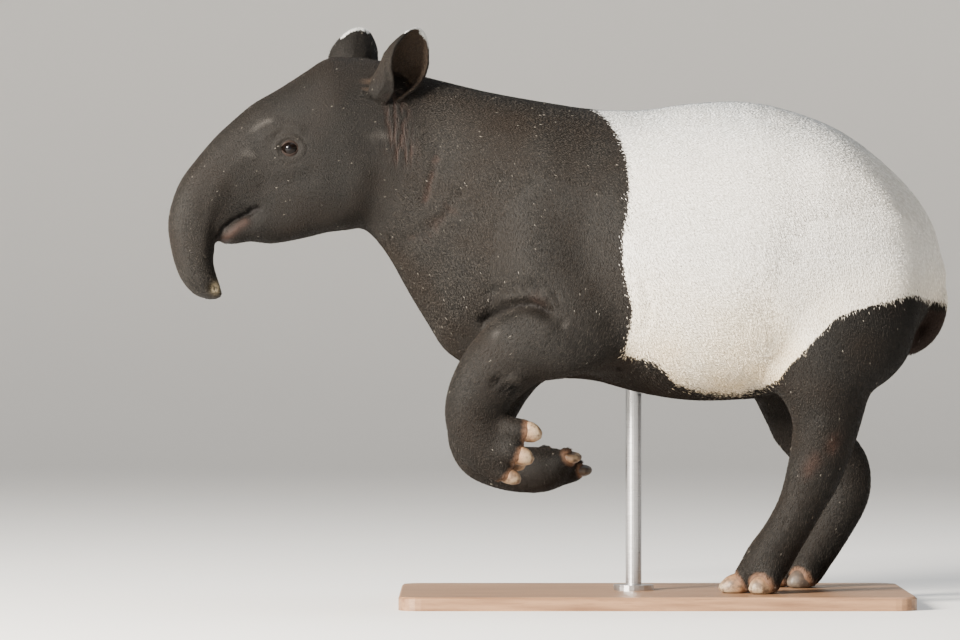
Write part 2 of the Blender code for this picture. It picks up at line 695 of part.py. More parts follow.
def add_lids(flesh, work):
    """Raises the lids around each eye, hollows the socket and opens the slit."""
    frames = {side: eye_frame(flesh, side) for side in (-1, 1)}
    lid = 2 * (EYE_RADIUS + LID_THICKNESS)
    socket = 2 * (EYE_RADIUS + GAP)
    for middle, axes in frames.values():
        combine(flesh, ball("lids", middle, axes, (lid * LID_LENGTH, lid, lid), work), "UNION")
        carve(flesh, ball("socket", middle, axes, (socket,) * 3, work))
        front = middle + axes[1] * LID_OPENING[1] / 2
        carve(flesh, ball("slit", front, axes, LID_OPENING, work))
    return frames


def cut_nostrils(flesh, work):
    for side in (-1, 1):
        place = turned(Vector((NOSTRIL[0], side * NOSTRIL_PIT_SIDE, NOSTRIL[1])))
        carve(flesh, ball("nostril", place, UPRIGHT, NOSTRIL_PIT, work))


def cut_mouth(flesh, work):
    """Parts the jaw along the line of the mouth: open at the lips, closed within the cheek."""
    widths = [MOUTH_WIDTH] * (len(MOUTH) - 1) + [MOUTH_WIDTH / 2] + [GAP] * len(JAW_LINE)
    slit = ribbon("mouth", MOUTH + JAW_LINE, widths, -FACE_SIDE, FACE_SIDE, work)
    carve(flesh, turn_head(slit))


def saw(flesh, line, y_from, y_to, work, with_head=False):
    """Cuts with a plate, which turns as one with the head if asked."""
    cutter = plate("saw", line[0], line[1], y_from, y_to, work)
    if with_head:
        middle = Vector(((line[0][0] + line[1][0]) / 2, 0, (line[0][1] + line[1][1]) / 2))
        behind = turned(middle + Vector((VOXEL, 0, 0))) - turned(middle)
        swing = Matrix.Rotation(math.atan2(behind.y, behind.x), 4, "Z")
        cutter.data.transform(Matrix.Translation(turned(middle)) @ swing
                              @ Matrix.Translation(-middle))
    carve(flesh, cutter)


def part_by(flesh, region):
    """Parts what lies in a region from the rest, by a shell as thin as the clearance."""
    shell = region.modifiers.new("shell", "SOLIDIFY")
    shell.thickness = GAP
    shell.offset = 0
    shell.use_even_offset = True
    carve(flesh, bake(region))


def part_flesh(flesh, work):
    """Parts the limbs from the trunk, then the trunk and each limb along their length."""
    for side, wrist, hock in ((-1, WRIST_LEFT_PLATE, HOCK_LEFT_PLATE),
                              (1, WRIST_RIGHT_PLATE, HOCK_RIGHT_PLATE)):
        thigh = sorted((side * THIGH_INSIDE, side * OUTSIDE))
        arm = sorted((side * ARM_INSIDE, side * OUTSIDE))
        half = sorted((0, side * OUTSIDE))
        part_by(flesh, leg_region("leg", *THIGH_ARC, THIGH_FEET, *thigh, work))
        part_by(flesh, leg_region("arm", *ARM_ARC, ARM_FEET, *arm, work))
        saw(flesh, ELBOW_PLATE, *arm, work)
        saw(flesh, wrist, *half, work)
        saw(flesh, STIFLE_PLATE, *thigh, work)
        saw(flesh, hock, *half, work)
    for line in (NECK_PLATE, BARREL_PLATE, RUMP_PLATE):
        saw(flesh, line, -OUTSIDE, OUTSIDE, work)
    for line in (HEAD_PLATE, SNOUT_PLATE):
        saw(flesh, line, -FACE_SIDE, FACE_SIDE, work, with_head=True)


def islands(obj):
    """A bmesh of the object, and the sets of faces that make its separate closed surfaces."""
    shape = bmesh.new()
    shape.from_mesh(obj.data)
    left = set(shape.faces)
    found = []
    while left:
        group = set()
        edge = [left.pop()]
        while edge:
            face = edge.pop()
            group.add(face)
            for e in face.edges:
                for other in e.link_faces:
                    if other in left:
                        left.discard(other)
                        edge.append(other)
        found.append(group)
    return shape, found


def separate(flesh, collection):
    """Gives each piece of flesh its own object, and drops scraps."""
    shape, groups = islands(flesh)
    best = {}
    for group in groups:
        points = {v for face in group for v in face.verts}
        low = Vector(min(v.co[i] for v in points) for i in range(3))
        high = Vector(max(v.co[i] for v in points) for i in range(3))
        middle = (low + high) / 2
        name = min(PIECES, key=lambda key: (Vector(PIECES[key]) - middle).length)
        if name not in best or len(group) > len(best[name]):
            best[name] = group
    for name, group in best.items():
        kept = {}
        piece = bmesh.new()
        for face in group:
            corners = []
            for v in face.verts:
                if v not in kept:
                    kept[v] = piece.verts.new(v.co)
                corners.append(kept[v])
            piece.faces.new(corners)
        new_object(name, piece, collection)
    shape.free()
    bpy.data.objects.remove(flesh)


def grown(flesh, work):
    """A copy of the flesh, larger all round by the clearance, to cut what touches it."""
    copy = flesh.copy()
    copy.data = flesh.data.copy()
    work.objects.link(copy)
    swell = copy.modifiers.new("swell", "DISPLACE")
    swell.strength = GAP
    swell.mid_level = 0
    return bake(copy)


def keep_largest(obj):
    """Drops the scraps that a cut has left."""
    shape, groups = islands(obj)
    kept = max(groups, key=lambda group: sum(face.calc_area() for face in group))
    bmesh.ops.delete(shape, geom=[f for f in shape.faces if f not in kept], context="FACES")
    shape.to_mesh(obj.data)
    shape.free()


def cut_clear(obj, flesh, work):
    """Cuts the object clear of the flesh that it grows from or meets."""
    combine(obj, grown(flesh, work), "DIFFERENCE")
    keep_largest(obj)


def build_ear(name, base, tip, opening, collection):
    """A cup that opens sideways, bent from a flat grid and given its thickness."""
    base = Vector(base)
    along = Vector(tip) - base
    opening = Vector(opening)
    opening = (opening - opening.project(along)).normalized()
    across = along.cross(opening).normalized()
    shape = bmesh.new()
    bmesh.ops.create_grid(shape, x_segments=EAR_ACROSS, y_segments=EAR_ALONG, size=1)
    sections = [EAR_BASE, EAR_LOW, EAR_MIDDLE, EAR_HIGH, EAR_TOP]
    rows = catmull_rom(sections, EAR_ALONG // (len(sections) - 1))
    for v in shape.verts:
        step = round((v.co.y + 1) / 2 * EAR_ALONG)
        radius, angle, back = rows[step]
        share = step / EAR_ALONG
        swing = math.radians(angle) * v.co.x
        droop = EAR_ROUNDING * share ** 3 * v.co.x ** 2
        v.co = (base + along * (share - droop) + across * radius * math.sin(swing)
                - opening * (radius * (math.cos(swing) - EAR_SINK) + back))
    obj = new_object(name, shape, collection)
    skin = obj.modifiers.new("thickness", "SOLIDIFY")
    skin.thickness = EAR_THICKNESS
    skin.offset = 0
    return bake(obj)


def build_stand(flesh, collection, work):
    """A wooden slab, and a steel rod with a collar that reaches up to the belly."""
    shape = bmesh.new()
    bmesh.ops.create_cube(shape, size=1)
    size = Matrix.Diagonal((BASE_LENGTH, BASE_WIDTH, BASE_THICKNESS, 1))
    lift = Matrix.Translation((BASE_CENTRE_X, 0, BASE_THICKNESS / 2))
    bmesh.ops.transform(shape, matrix=lift @ size, verts=shape.verts)
    upright = [e for e in shape.edges if abs(e.verts[0].co.z - e.verts[1].co.z) > GAP]
    bmesh.ops.bevel(shape, geom=upright, offset=BASE_CORNER, segments=BASE_CORNER_STEPS,
                    profile=0.5, affect="EDGES")
    rim = [e for e in shape.edges if all(v.co.z > BASE_THICKNESS - GAP for v in e.verts)]
    bmesh.ops.bevel(shape, geom=rim, offset=BASE_EDGE, segments=1, profile=0.5, affect="EDGES")
    new_object("stand_base", shape, collection)
    foot = BASE_THICKNESS + GAP
    rod = upright_rod("stand_rod", ROD_RADIUS, foot, ROD_TOP, collection)
    cut_clear(rod, flesh, work)
    collar = upright_rod("stand_collar", COLLAR_RADIUS, foot, foot + COLLAR_HEIGHT, collection)
    combine(collar, upright_rod("bore", ROD_RADIUS + GAP, 0, ROD_TOP, work), "DIFFERENCE")


def upright_rod(name, radius, bottom, top, collection):
    shape = bmesh.new()
    place = Matrix.Translation((ROD_X, 0, (bottom + top) / 2))
    bmesh.ops.create_cone(shape, cap_ends=True, segments=ROD_SIDES, radius1=radius, radius2=radius,
                          depth=top - bottom, matrix=place)
    return new_object(name, shape, collection)


def level_feet(flesh, work):
    """Cuts the soles flat, just clear of the base."""
    left = BASE_CENTRE_X - BASE_LENGTH / 2
    right = BASE_CENTRE_X + BASE_LENGTH / 2
    top = BASE_THICKNESS + GAP
    slab = prism("slab", ((left, 0), (right, 0), (right, top), (left, top)), -OUTSIDE, OUTSIDE, work)
    carve(flesh, slab)


def paint(obj, colour, roughness, metallic=0.0):
    material = bpy.data.materials.new(obj.name)
    material.use_nodes = True
    shader = material.node_tree.nodes["Principled BSDF"]
    shader.inputs["Base Color"].default_value = colour
    shader.inputs["Roughness"].default_value = roughness
    shader.inputs["Metallic"].default_value = metallic
    obj.data.materials.clear()
    obj.data.materials.append(material)


def paint_all(collection):
    for obj in collection.objects:
        if obj.name.startswith("hoof"):
            paint(obj, HOOF_TAN, roughness=0.6)
        elif obj.name.startswith("eye"):
            paint(obj, EYE_BROWN, roughness=0.08)
        elif obj.name == "stand_base":
            paint(obj, WOOD, roughness=0.45)
        elif obj.name.startswith("stand"):
            paint(obj, STEEL, roughness=0.3, metallic=1.0)
        elif obj.name in ("barrel", "rump"):
            paint(obj, COAT_WHITE, roughness=0.85)
        else:
            paint(obj, COAT_BLACK, roughness=0.8)
        obj.data.shade_smooth()
        obj.data.set_sharp_from_angle(angle=SHARP_ANGLE)


def main():
    clear_scene()
    scene = bpy.context.scene.collection
    parts = bpy.data.collections.new("malayan_tapir")
    work = bpy.data.collections.new("work")
    scene.children.link(parts)
    scene.children.link(work)
    build_flesh(work)
    flesh = joined(work, "flesh", parts)
    fuse(flesh)
    for name, (base, tip, opening) in EARS.items():
        cut_clear(build_ear(name, base, tip, opening, parts), flesh, work)
    tail = limb_loft("tail", TAIL, parts, TAIL_STEPS, TAIL_SIDES)
    cut_clear(tail, flesh, work)
    build_stand(flesh, parts, work)
    frames = add_lids(flesh, work)
    for side, name in ((-1, "eye_left"), (1, "eye_right")):
        ball(name, *frames[side], (2 * EYE_RADIUS,) * 3, parts)
    cut_nostrils(flesh, work)
    for toe in toe_list():
        carve(flesh, hoof(toe, work, GAP))
        hoof(toe, parts)
    level_feet(flesh, work)
    cut_mouth(flesh, work)
    part_flesh(flesh, work)
    separate(flesh, parts)
    paint_all(parts)


main()
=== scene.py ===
"""Dresses a life-size museum model of a galloping Malayan tapir.

One skin covers the flesh and is sculpted with the folds, lids, mouth and nostrils. A short coat of
fine tufts lies over it. Eyes and hooves are pieces of their own. The model stands on a wooden base
with one steel rod, on a plain pale stage. Metres, +Z up, the head toward -X, its left side at -Y.
"""

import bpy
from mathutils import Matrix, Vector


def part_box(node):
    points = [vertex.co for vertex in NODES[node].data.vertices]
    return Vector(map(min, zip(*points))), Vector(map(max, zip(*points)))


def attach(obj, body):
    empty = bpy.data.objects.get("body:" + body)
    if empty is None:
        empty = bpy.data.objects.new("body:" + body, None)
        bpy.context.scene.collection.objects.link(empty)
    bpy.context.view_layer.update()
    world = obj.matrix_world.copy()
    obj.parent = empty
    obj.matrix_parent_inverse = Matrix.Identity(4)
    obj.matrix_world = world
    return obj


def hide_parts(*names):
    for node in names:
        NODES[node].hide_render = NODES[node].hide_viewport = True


bl_info = {
    "name": "Malayan Tapir Model",
    "version": (1, 0, 0),
    "blender": (4, 5, 0),
    "location": "View3D > Sidebar > Tapir",
    "description": "Dresses a life-size museum model of a galloping Malayan tapir",
    "category": "Add Mesh",
}

import math

import bmesh
import bpy
import numpy as np
from bpy.props import (
    FloatProperty,
    FloatVectorProperty,
    IntProperty,
    PointerProperty,
)
from mathutils import Matrix, Vector
from mathutils.bvhtree import BVHTree
from mathutils.kdtree import KDTree

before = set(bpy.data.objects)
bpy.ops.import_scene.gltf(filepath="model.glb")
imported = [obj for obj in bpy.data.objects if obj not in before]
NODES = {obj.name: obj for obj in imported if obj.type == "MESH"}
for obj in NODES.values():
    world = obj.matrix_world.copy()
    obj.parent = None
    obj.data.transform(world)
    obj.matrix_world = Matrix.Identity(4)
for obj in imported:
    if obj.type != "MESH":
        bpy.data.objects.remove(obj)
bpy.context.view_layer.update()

# What the frame's nodes are.
HOOF_NODES = sorted(name for name in NODES if name.startswith("hoof"))
EYE_NODES = {-1: "eye_left", 1: "eye_right"}
EAR_NODES = {-1: "ear_left", 1: "ear_right"}
STAND_NODES = ("stand_base", "stand_collar", "stand_rod")
FLESH_NODES = sorted(set(NODES) - set(HOOF_NODES) - set(EYE_NODES.values())
                     - set(EAR_NODES.values()) - set(STAND_NODES))

# The photo's view: a level camera beside the animal. Marks on the side are given as (x, z) where
# they are seen in the middle plane, y = 0.
CAMERA = Vector((-0.1755, -12.0, 0.6375))
LENS = 200.0
SENSOR = 36.0
VIEW_DEPTH = 100.0

# How the head is turned, as in the frame: by how much, over which stretch of neck, about which x.
HEAD_TURN = math.radians(12)
TURN_START_X = -0.14
TURN_END_X = -0.42
TURN_PIVOT_X = -0.28

# The skin's making: how near the corners of loose triangles are joined, how far the nodes are
# swollen so that they fuse, how deep the toes reach into the hooves, and how far a point is drawn
# toward its neighbours in each round of smoothing.
WELD = 0.00001
OVERLAP = 0.0004
HOOF_SINK = 0.0025
SMOOTHING_STEP = 0.6
EVEN_STEP = 0.5

# How much of the smoothing the fine places get, and how far from them it starts and is full.
FINE_NEAR = 0.015
FINE_FAR = 0.090
FINE_LEAST = 0.06

# Points along a line on the skin are this close, and a press fades out at this many of its widths.
LINE_STEP = 0.004
LINE_REACH = 3
LINE_LEAST = 0.002

# Marks of the face that keep their detail, as (x, z).
NOSTRIL = (-0.7695, 0.7095)
NOSTRIL_SPOT = (NOSTRIL, NOSTRIL)
MOUTH_CORNER = (-0.690, 0.884)

# The line of the mouth, from its front to its corner, the hollow behind it and the bare lower lip.
MOUTH = [(-0.768, 0.806), (-0.7645, 0.8255), (-0.7526, 0.8445), (-0.7319, 0.8612),
         (-0.7065, 0.8735), (-0.692, 0.878)]
MOUTH_HOLLOW = [(-0.692, 0.882), (-0.676, 0.888)]
LOWER_LIP = [(-0.753, 0.815), (-0.737, 0.831), (-0.718, 0.848), (-0.704, 0.858)]

# The white edges of the ears: which ear, the stretch of its upper edge in x, and how far down it
# goes. The edge is found in steps of x.
EAR_WHITE = [
    ("ear_left", -0.345, -0.312, 0.0030),
    ("ear_left", -0.312, -0.280, 0.0130),
    ("ear_right", -0.492, -0.425, 0.0075),
]
EAR_RIM_STEP = 0.002

# How near the ears' nodes the skin is theirs, how far from an ear's front the neck's skin starts,
# and how high over its pushed-in root an ear is free of the push.
EAR_REACH = 0.0045
EAR_BACK = 0.060
EAR_ROOT_FADE = 0.01

# Old scars and pale flecks on the left side.
SCARS = [
    [(-0.682, 1.068), (-0.664, 1.082), (-0.650, 1.086)],
    [(-0.410, 1.050), (-0.392, 1.056)],
    [(-0.142, 0.604), (-0.136, 0.608)],
    [(0.014, 0.624), (0.024, 0.634)],
    [(-0.700, 1.014), (-0.690, 1.008)],
]

# The saddle's edges: x of its front at each height z, and z of its lower edge at each x.
SADDLE_FRONT = [(0.380, 0.190), (0.555, 0.149), (0.617, 0.162), (0.656, 0.168), (0.703, 0.158),
                (0.761, 0.146), (0.827, 0.146), (0.890, 0.158), (0.944, 0.160), (0.996, 0.155),
                (1.043, 0.140), (1.086, 0.112), (1.115, 0.070), (1.200, 0.020)]
SADDLE_BELOW = [(0.140, 0.560), (0.200, 0.548), (0.234, 0.530), (0.257, 0.498), (0.304, 0.480),
                (0.360, 0.471), (0.419, 0.473), (0.464, 0.487), (0.497, 0.505), (0.522, 0.536),
                (0.556, 0.570), (0.590, 0.606), (0.623, 0.640), (0.664, 0.658), (0.722, 0.674),
                (0.778, 0.689), (0.808, 0.692), (0.837, 0.683), (0.873, 0.674), (0.920, 0.670)]

# Folds and forms pressed into the skin or raised from it: the points seen on the left side, the
# width and the height, which is negative for a groove. The right side gets them mirrored.
FOREARM_CREASE = [(-0.170, 0.632), (-0.130, 0.660), (-0.101, 0.672), (-0.065, 0.673),
                  (-0.040, 0.666), (-0.022, 0.657)]
ARM_FOLD = [(-0.152, 0.703), (-0.098, 0.705), (-0.065, 0.711), (-0.037, 0.711), (-0.002, 0.702)]
NECK_FOLD = [(-0.338, 0.818), (-0.281, 0.856), (-0.243, 0.888), (-0.222, 0.921)]
THROAT_FOLD = [(-0.299, 0.818), (-0.248, 0.883), (-0.222, 0.921)]
CHEEK_WRINKLE = [(-0.302, 0.903), (-0.283, 0.968), (-0.272, 1.011)]
FLANK_CREASE = [(0.253, 0.764), (0.281, 0.739), (0.336, 0.743), (0.405, 0.764)]
ELBOW_CREASE = [(0.190, 0.719), (0.203, 0.690), (0.205, 0.655), (0.196, 0.620)]
WRIST_CREASE = [(-0.140, 0.498), (-0.118, 0.484), (-0.096, 0.476)]
HIP_RIDGE = [(0.600, 0.990), (0.680, 0.965), (0.735, 0.915), (0.760, 0.870)]
HIP_HOLLOW = [(0.560, 0.800), (0.640, 0.790), (0.700, 0.760)]
LOIN_HOLLOW = [(0.340, 1.010), (0.430, 0.990), (0.520, 0.960)]
SHOULDER_RIDGE = [(-0.030, 1.030), (-0.060, 0.930), (-0.080, 0.830), (-0.070, 0.760)]
SHOULDER_HOLLOW = [(0.080, 1.000), (0.070, 0.880), (0.060, 0.780)]
JAW_RIDGE = [(-0.440, 0.960), (-0.450, 0.900), (-0.500, 0.860)]
CHEEK_HOLLOW = [(-0.560, 0.960), (-0.610, 0.945), (-0.660, 0.945)]
BROW_RIDGE = [(-0.660, 1.052), (-0.625, 1.075), (-0.585, 1.065)]
BROW_FOLD = [(-0.636, 1.052), (-0.616, 1.070), (-0.590, 1.060), (-0.575, 1.040)]
UNDER_EYE_FOLD = [(-0.640, 0.990), (-0.612, 0.984), (-0.585, 0.992)]
SNOUT_RIDGE = [(-0.700, 1.010), (-0.745, 0.970), (-0.775, 0.920), (-0.790, 0.850), (-0.800, 0.780)]
STIFLE_HOLLOW = [(0.470, 0.640), (0.520, 0.580), (0.540, 0.520)]
FOREARM_TOP = [(-0.150, 0.610), (-0.110, 0.636), (-0.066, 0.640), (-0.020, 0.622)]
ARM_RIDGE = [(-0.130, 0.688), (-0.085, 0.692), (-0.045, 0.692), (-0.012, 0.680)]
WRIST_HEEL = [(-0.094, 0.506), (-0.086, 0.502)]
HOCK = [(0.590, 0.395), (0.606, 0.372)]
ANKLE_FOLD = [(0.470, 0.205), (0.492, 0.190), (0.512, 0.182)]
FORMS = [
    (FOREARM_CREASE, 0.0110, -0.0170),
    (FOREARM_TOP, 0.0220, 0.0080),
    (ARM_RIDGE, 0.0130, 0.0050),
    (ARM_FOLD, 0.0110, -0.0065),
    (NECK_FOLD, 0.0100, -0.0045),
    (THROAT_FOLD, 0.0100, -0.0038),
    (CHEEK_WRINKLE, 0.0080, -0.0045),
    (FLANK_CREASE, 0.0050, -0.0022),
    (ELBOW_CREASE, 0.0080, -0.0045),
    (WRIST_CREASE, 0.0090, -0.0140),
    (WRIST_HEEL, 0.0150, 0.0090),
    (HOCK, 0.0180, 0.0040),
    (ANKLE_FOLD, 0.0070, -0.0035),
    (MOUTH, 0.0042, -0.0100),
    (MOUTH_HOLLOW, 0.0070, -0.0080),
    (LOWER_LIP, 0.0110, 0.0030),
    (NOSTRIL_SPOT, 0.0080, -0.0100),
    (HIP_RIDGE, 0.0400, 0.0060),
    (HIP_HOLLOW, 0.0700, -0.0070),
    (LOIN_HOLLOW, 0.0600, -0.0050),
    (SHOULDER_RIDGE, 0.0450, 0.0050),
    (SHOULDER_HOLLOW, 0.0500, -0.0050),
    (JAW_RIDGE, 0.0300, 0.0030),
    (CHEEK_HOLLOW, 0.0250, -0.0030),
    (BROW_RIDGE, 0.0120, 0.0025),
    (BROW_FOLD, 0.0045, -0.0016),
    (UNDER_EYE_FOLD, 0.0045, -0.0010),
    (SNOUT_RIDGE, 0.0160, 0.0022),
    (STIFLE_HOLLOW, 0.0450, -0.0060),
]

# The wrinkles behind each ear: the line down their middle, and the scale of their noise, which is
# stretched down the neck.
EAR_WRINKLES = [(-0.372, 1.140), (-0.364, 1.110), (-0.358, 1.070), (-0.348, 1.010)]
WRINKLE_SCALE = (105.0, 60.0, 17.0)

# Places where the hair is worn and reddish skin shows.
HOCK_WORN = [(0.623, 0.3675), (0.618, 0.352)]
SHANK_WORN = [(0.578, 0.3225), (0.5625, 0.300)]
SHOULDER_WORN = [(-0.052, 0.683), (-0.040, 0.679)]

# What is marked along lines of the skin on both sides: the mark, the line, its width and strength.
LINE_MARKS = (
    # The dark marks are painted shade deep in the mouth's line, in the nostrils and in the creases.
    ("dark", MOUTH, 0.0040, 1.0),
    ("dark", MOUTH_HOLLOW, 0.0080, 1.0),
    ("dark", NOSTRIL_SPOT, 0.0075, 1.0),
    ("dark", FOREARM_CREASE, 0.0060, 0.7),
    ("dark", WRIST_CREASE, 0.0070, 0.5),
    ("furless", MOUTH, 0.0060, 1.0),
    ("furless", LOWER_LIP, 0.0130, 1.0),
    ("furless", NOSTRIL_SPOT, 0.0120, 1.0),
    ("crust", NOSTRIL_SPOT, 0.0120, 1.0),
    ("wrinkled", EAR_WRINKLES, 0.0240, 1.0),
    ("blush", NECK_FOLD, 0.0030, 0.35),
    ("blush", THROAT_FOLD, 0.0030, 0.25),
    ("blush", CHEEK_WRINKLE, 0.0035, 0.6),
    ("blush", LOWER_LIP, 0.0100, 0.5),
    ("blush", HOCK_WORN, 0.0150, 0.6),
    ("blush", SHANK_WORN, 0.0150, 0.5),
    ("blush", SHOULDER_WORN, 0.0120, 0.3),
)
SCAR_WIDTH = 0.0060

# The bare skin of the lids: how far from the eye's middle it ends, over what width it fades and
# how strong it is. The tail's tip is worn under some height.
LIDS_BARE = (0.0205, 0.002, 0.5)
LIDS_FURLESS = (0.0240, 0.003, 1)
TAIL_WORN_BELOW = 0.66
TAIL_WORN = 0.45

# How far from a node its own skin is looked for. The bare skin round the hooves, its colour and
# its missing hair: the strength at the hoof, and over what distance that falls by 1.
SEARCH_REACH = 0.02
TOE_PAD = (1.2, 0.006)
TOE_FURLESS = (1.3, 0.005)

# The depth inside the saddle that the white edges of the ears are given, and how strong such an
# edge has to be on the skin.
PALE_DEPTH = 0.02
PALE_LEAST = 0.4

# The way that the coat lies on each part of the body, and how often it is relaxed at their joins.
LIE = {
    "proboscis": (0.30, 0.0, 1.0),
    "head": (1.0, 0.0, 0.10),
    "lower_jaw": (1.0, 0.0, -0.05),
    "neck": (0.90, 0.0, -0.60),
    "chest": (0.80, 0.0, -0.70),
    "barrel": (1.0, 0.0, -0.60),
    "rump": (0.90, 0.0, -0.70),
    "tail": (-0.20, 0.0, -1.0),
    "thigh_left": (0.15, 0.0, -1.0),
    "thigh_right": (0.15, 0.0, -1.0),
    "shank_left": (-0.20, 0.0, -1.0),
    "shank_right": (0.35, 0.0, -1.0),
    "hind_foot_left": (-0.50, 0.0, -1.0),
    "hind_foot_right": (-0.50, 0.0, -1.0),
    "upper_arm_left": (0.10, 0.0, -1.0),
    "upper_arm_right": (0.10, 0.0, -1.0),
    "forearm_left": (-0.90, 0.0, -0.55),
    "forearm_right": (-0.70, 0.0, -0.75),
    "forefoot_left": (0.45, 0.0, -0.90),
    "forefoot_right": (0.75, 0.0, -0.60),
    "ear_left": (0.07, -0.05, 0.14),
    "ear_right": (-0.03, 0.04, 0.14),
}
LIE_SMOOTHING = 60

# How grey the black coat is on each part of the body: painted light and shade, greyer where it is
# lit and blacker where it is shaded, and how often that is relaxed at their joins.
PAINTED_LIGHT_AND_SHADE = {"neck": 1.0, "chest": 0.9, "barrel": 0.85, "rump": 0.5, "tail": 0.5, "thigh": 0.45,
         "shank": 0.8, "hind_foot": 0.95, "upper_arm": 0.95, "forearm": 0.85, "forefoot": 0.6,
         "head": 0.48, "proboscis": 1.0, "lower_jaw": 0.4, "ear": 0.45}
PAINTED_LIGHT_AND_SHADE_SMOOTHING = 250

# The coat's pieces: the nodes that each covers, how many tufts it has at most, and the length and
# width of a tuft.
COAT_PIECES = {
    "coat_ears": (("ear_left", "ear_right"), 26000, 0.0060, 0.0011),
    "coat_face": (("head", "proboscis", "lower_jaw"), 49000, 0.0052, 0.0012),
    "coat_neck": (("neck",), 49000, 0.0075, 0.0014),
    "coat_chest": (("chest",), 49000, 0.0080, 0.0016),
    "coat_barrel": (("barrel",), 49000, 0.0085, 0.0016),
    "coat_rump": (("rump", "tail"), 49000, 0.0085, 0.0017),
    "coat_forelegs": (("upper_arm_left", "upper_arm_right", "forearm_left", "forearm_right",
                       "forefoot_left", "forefoot_right"), 49000, 0.0070, 0.0014),
    "coat_hindlegs": (("thigh_left", "thigh_right", "shank_left", "shank_right",
                       "hind_foot_left", "hind_foot_right"), 49000, 0.0075, 0.0016),
}
WHITE_PIECES = ("coat_barrel", "coat_rump")
COAT_NODES = sorted(FLESH_NODES + list(EAR_NODES.values()))

# How the tufts are scattered and laid out flat: the room of one tuft against an even share, the
# draws for each room, the rooms in a row of the grid, the margin round a patch of skin, the slack
# in a row of patches, and half the width of a tuft's own patch.
ROOM = 1.2
DRAWS = 5
GRID_ROW = 10007
MARGIN = 0.002
ROW_SLACK = 1.1
PATCH = 0.0014

SHED = (0.25, 0.75)
VARIED = (0.7, 1.3)
LIFT_VARIED = (0.6, 1.2)
PALE_SHED = (0.2, 0.6)
FLECK_TONE = 2.0

# The feet that the hooves belong to, how much lower a hoof is at its tip and how that starts, the
# ways up from the soles, and the hooves that are darker than the others.
FOOT_OF = {"fore": "forefoot", "hind": "hind_foot"}
WEDGE = {"fore": 0.35, "hind": 0.5}
WEDGE_CURVE = 1.4
SOLE_WAYS = {
    "hind_foot_left": (0.0, 0.0, 1.0),
    "hind_foot_right": (0.0, 0.0, 1.0),
    "forefoot_left": (-0.65, 0.0, -0.76),
    "forefoot_right": (-0.10, -0.15, 0.98),
}
DARK_HOOVES = ("hoof_hind_right_inner", "hoof_fore_right_third")
DARK_HOOF = 0.8

# The eyes: how far forward they look, how wide the cornea is in radians, the colour of the pupil,
# and the angles from the gaze where the pupil ends and where the iris ends.
GAZE_FORWARD = 0.12
CORNEA_SPREAD = 0.5
EYE_SEGMENTS = (64, 48)
PUPIL = (0.003, 0.003, 0.004)
PUPIL_EDGE = (0.36, 0.30)
IRIS_EDGE = (0.98, 1.10)

# The coat's finish: the scale of its finest hairs, the heights over which the saddle turns cream
# and darker low on the flank, cream hair with painted shade, or cool grey along the back, which is
# painted shade, how ragged the saddle's edge is on the skin, how deep the wrinkles are against the
# hairs, and the colour of the painted shade deep in the mouth, nostrils and creases.
FINE_HAIR = 420.0
CREAM_AND_SHADE_HEIGHTS = (0.78, 0.50)
COOL_SHADE_HEIGHTS = (0.96, 1.13)
RAGGED_EDGE = 0.008
WRINKLE_DEPTH = 5.0
GROOVE_SHADE = (0.004, 0.003, 0.003)

# The other finishes: the rings of a hoof, the stretch of the wood's grain and of the brushed
# lines, and the steel's darkest and palest colours.
HORN_RINGS = 14.0
GRAIN_SCALE = (2.0, 34.0, 34.0)
BRUSHED_SCALE = (40.0, 40.0, 900.0)
STEEL = ((0.42, 0.42, 0.43), (0.62, 0.62, 0.63))

# The stage: a round floor that curves up into a wall far off, given as radius and height, the
# colour that it glows in, and how dark its clouds are.
STAGE_RADIUS = 11.0
STAGE_SEGMENTS = 96
STAGE_CURVE = ((13.5, 0.25), (15.5, 1.0), (17.0, 2.4), (17.8, 4.4), (18.0, 7.0))
STAGE_GLOW_COLOUR = (1.0, 0.985, 0.965)
STAGE_CLOUD = 0.94

# The lights: each lamp's place, width and colour, where the lamps point, and the room's light.
LAMPS = {
    "key": ((-5.4, -5.2, 3.2), 2.4, (1.0, 0.93, 0.83)),
    "fill": ((1.6, 1.0, 5.5), 5.0, (0.90, 0.95, 1.0)),
}
LIT_PLACE = Vector((0.0, 0.0, 0.75))
ROOM_COLOUR = (0.90, 0.94, 1.0)
ROOM_LIGHT = 0.15

# The marks that are stored on the skin and handed to the tufts. Among them, the black coat's grey
# is painted light and shade, and the dark mark is painted shade in the creases.
MARKS = ("bare", "furless", "blush", "dark", "scar", "crust", "wrinkled", "pale_edge", "brown",
         "frost", "pad")

# A tuft's shape: how far its root is sunk, how far along its ridge lies and how high that stands.
TUFT_SINK = 0.0004
TUFT_RIDGE = 0.35
TUFT_RISE = 0.0005

# How far over the skin the search for the skin under a tuft's tip starts, and how much of its lift
# a tuft keeps over skin that rises.
TUFT_PROBE = 0.005
TUFT_KEPT_LIFT = 0.5

# The lids from the edge on the eye outward: how far out, how high over the skin at the upper lid,
# and the part of that height that the lower lid has.
LID_ROWS = (
    (0.0000, -0.0004, 1.0),
    (0.0004, 0.0006, 1.0),
    (0.0014, 0.0012, 1.0),
    (0.0026, 0.0010, 0.9),
    (0.0044, 0.0016, 0.6),
    (0.0062, 0.0014, 0.4),
    (0.0076, 0.0002, 0.1),
    (0.0092, 0.0016, 0.1),
    (0.0124, 0.0026, 0.1),
    (0.0160, 0.0018, 0.1),
    (0.0200, 0.0002, 1.0),
    (0.0250, -0.0014, 1.0),
)

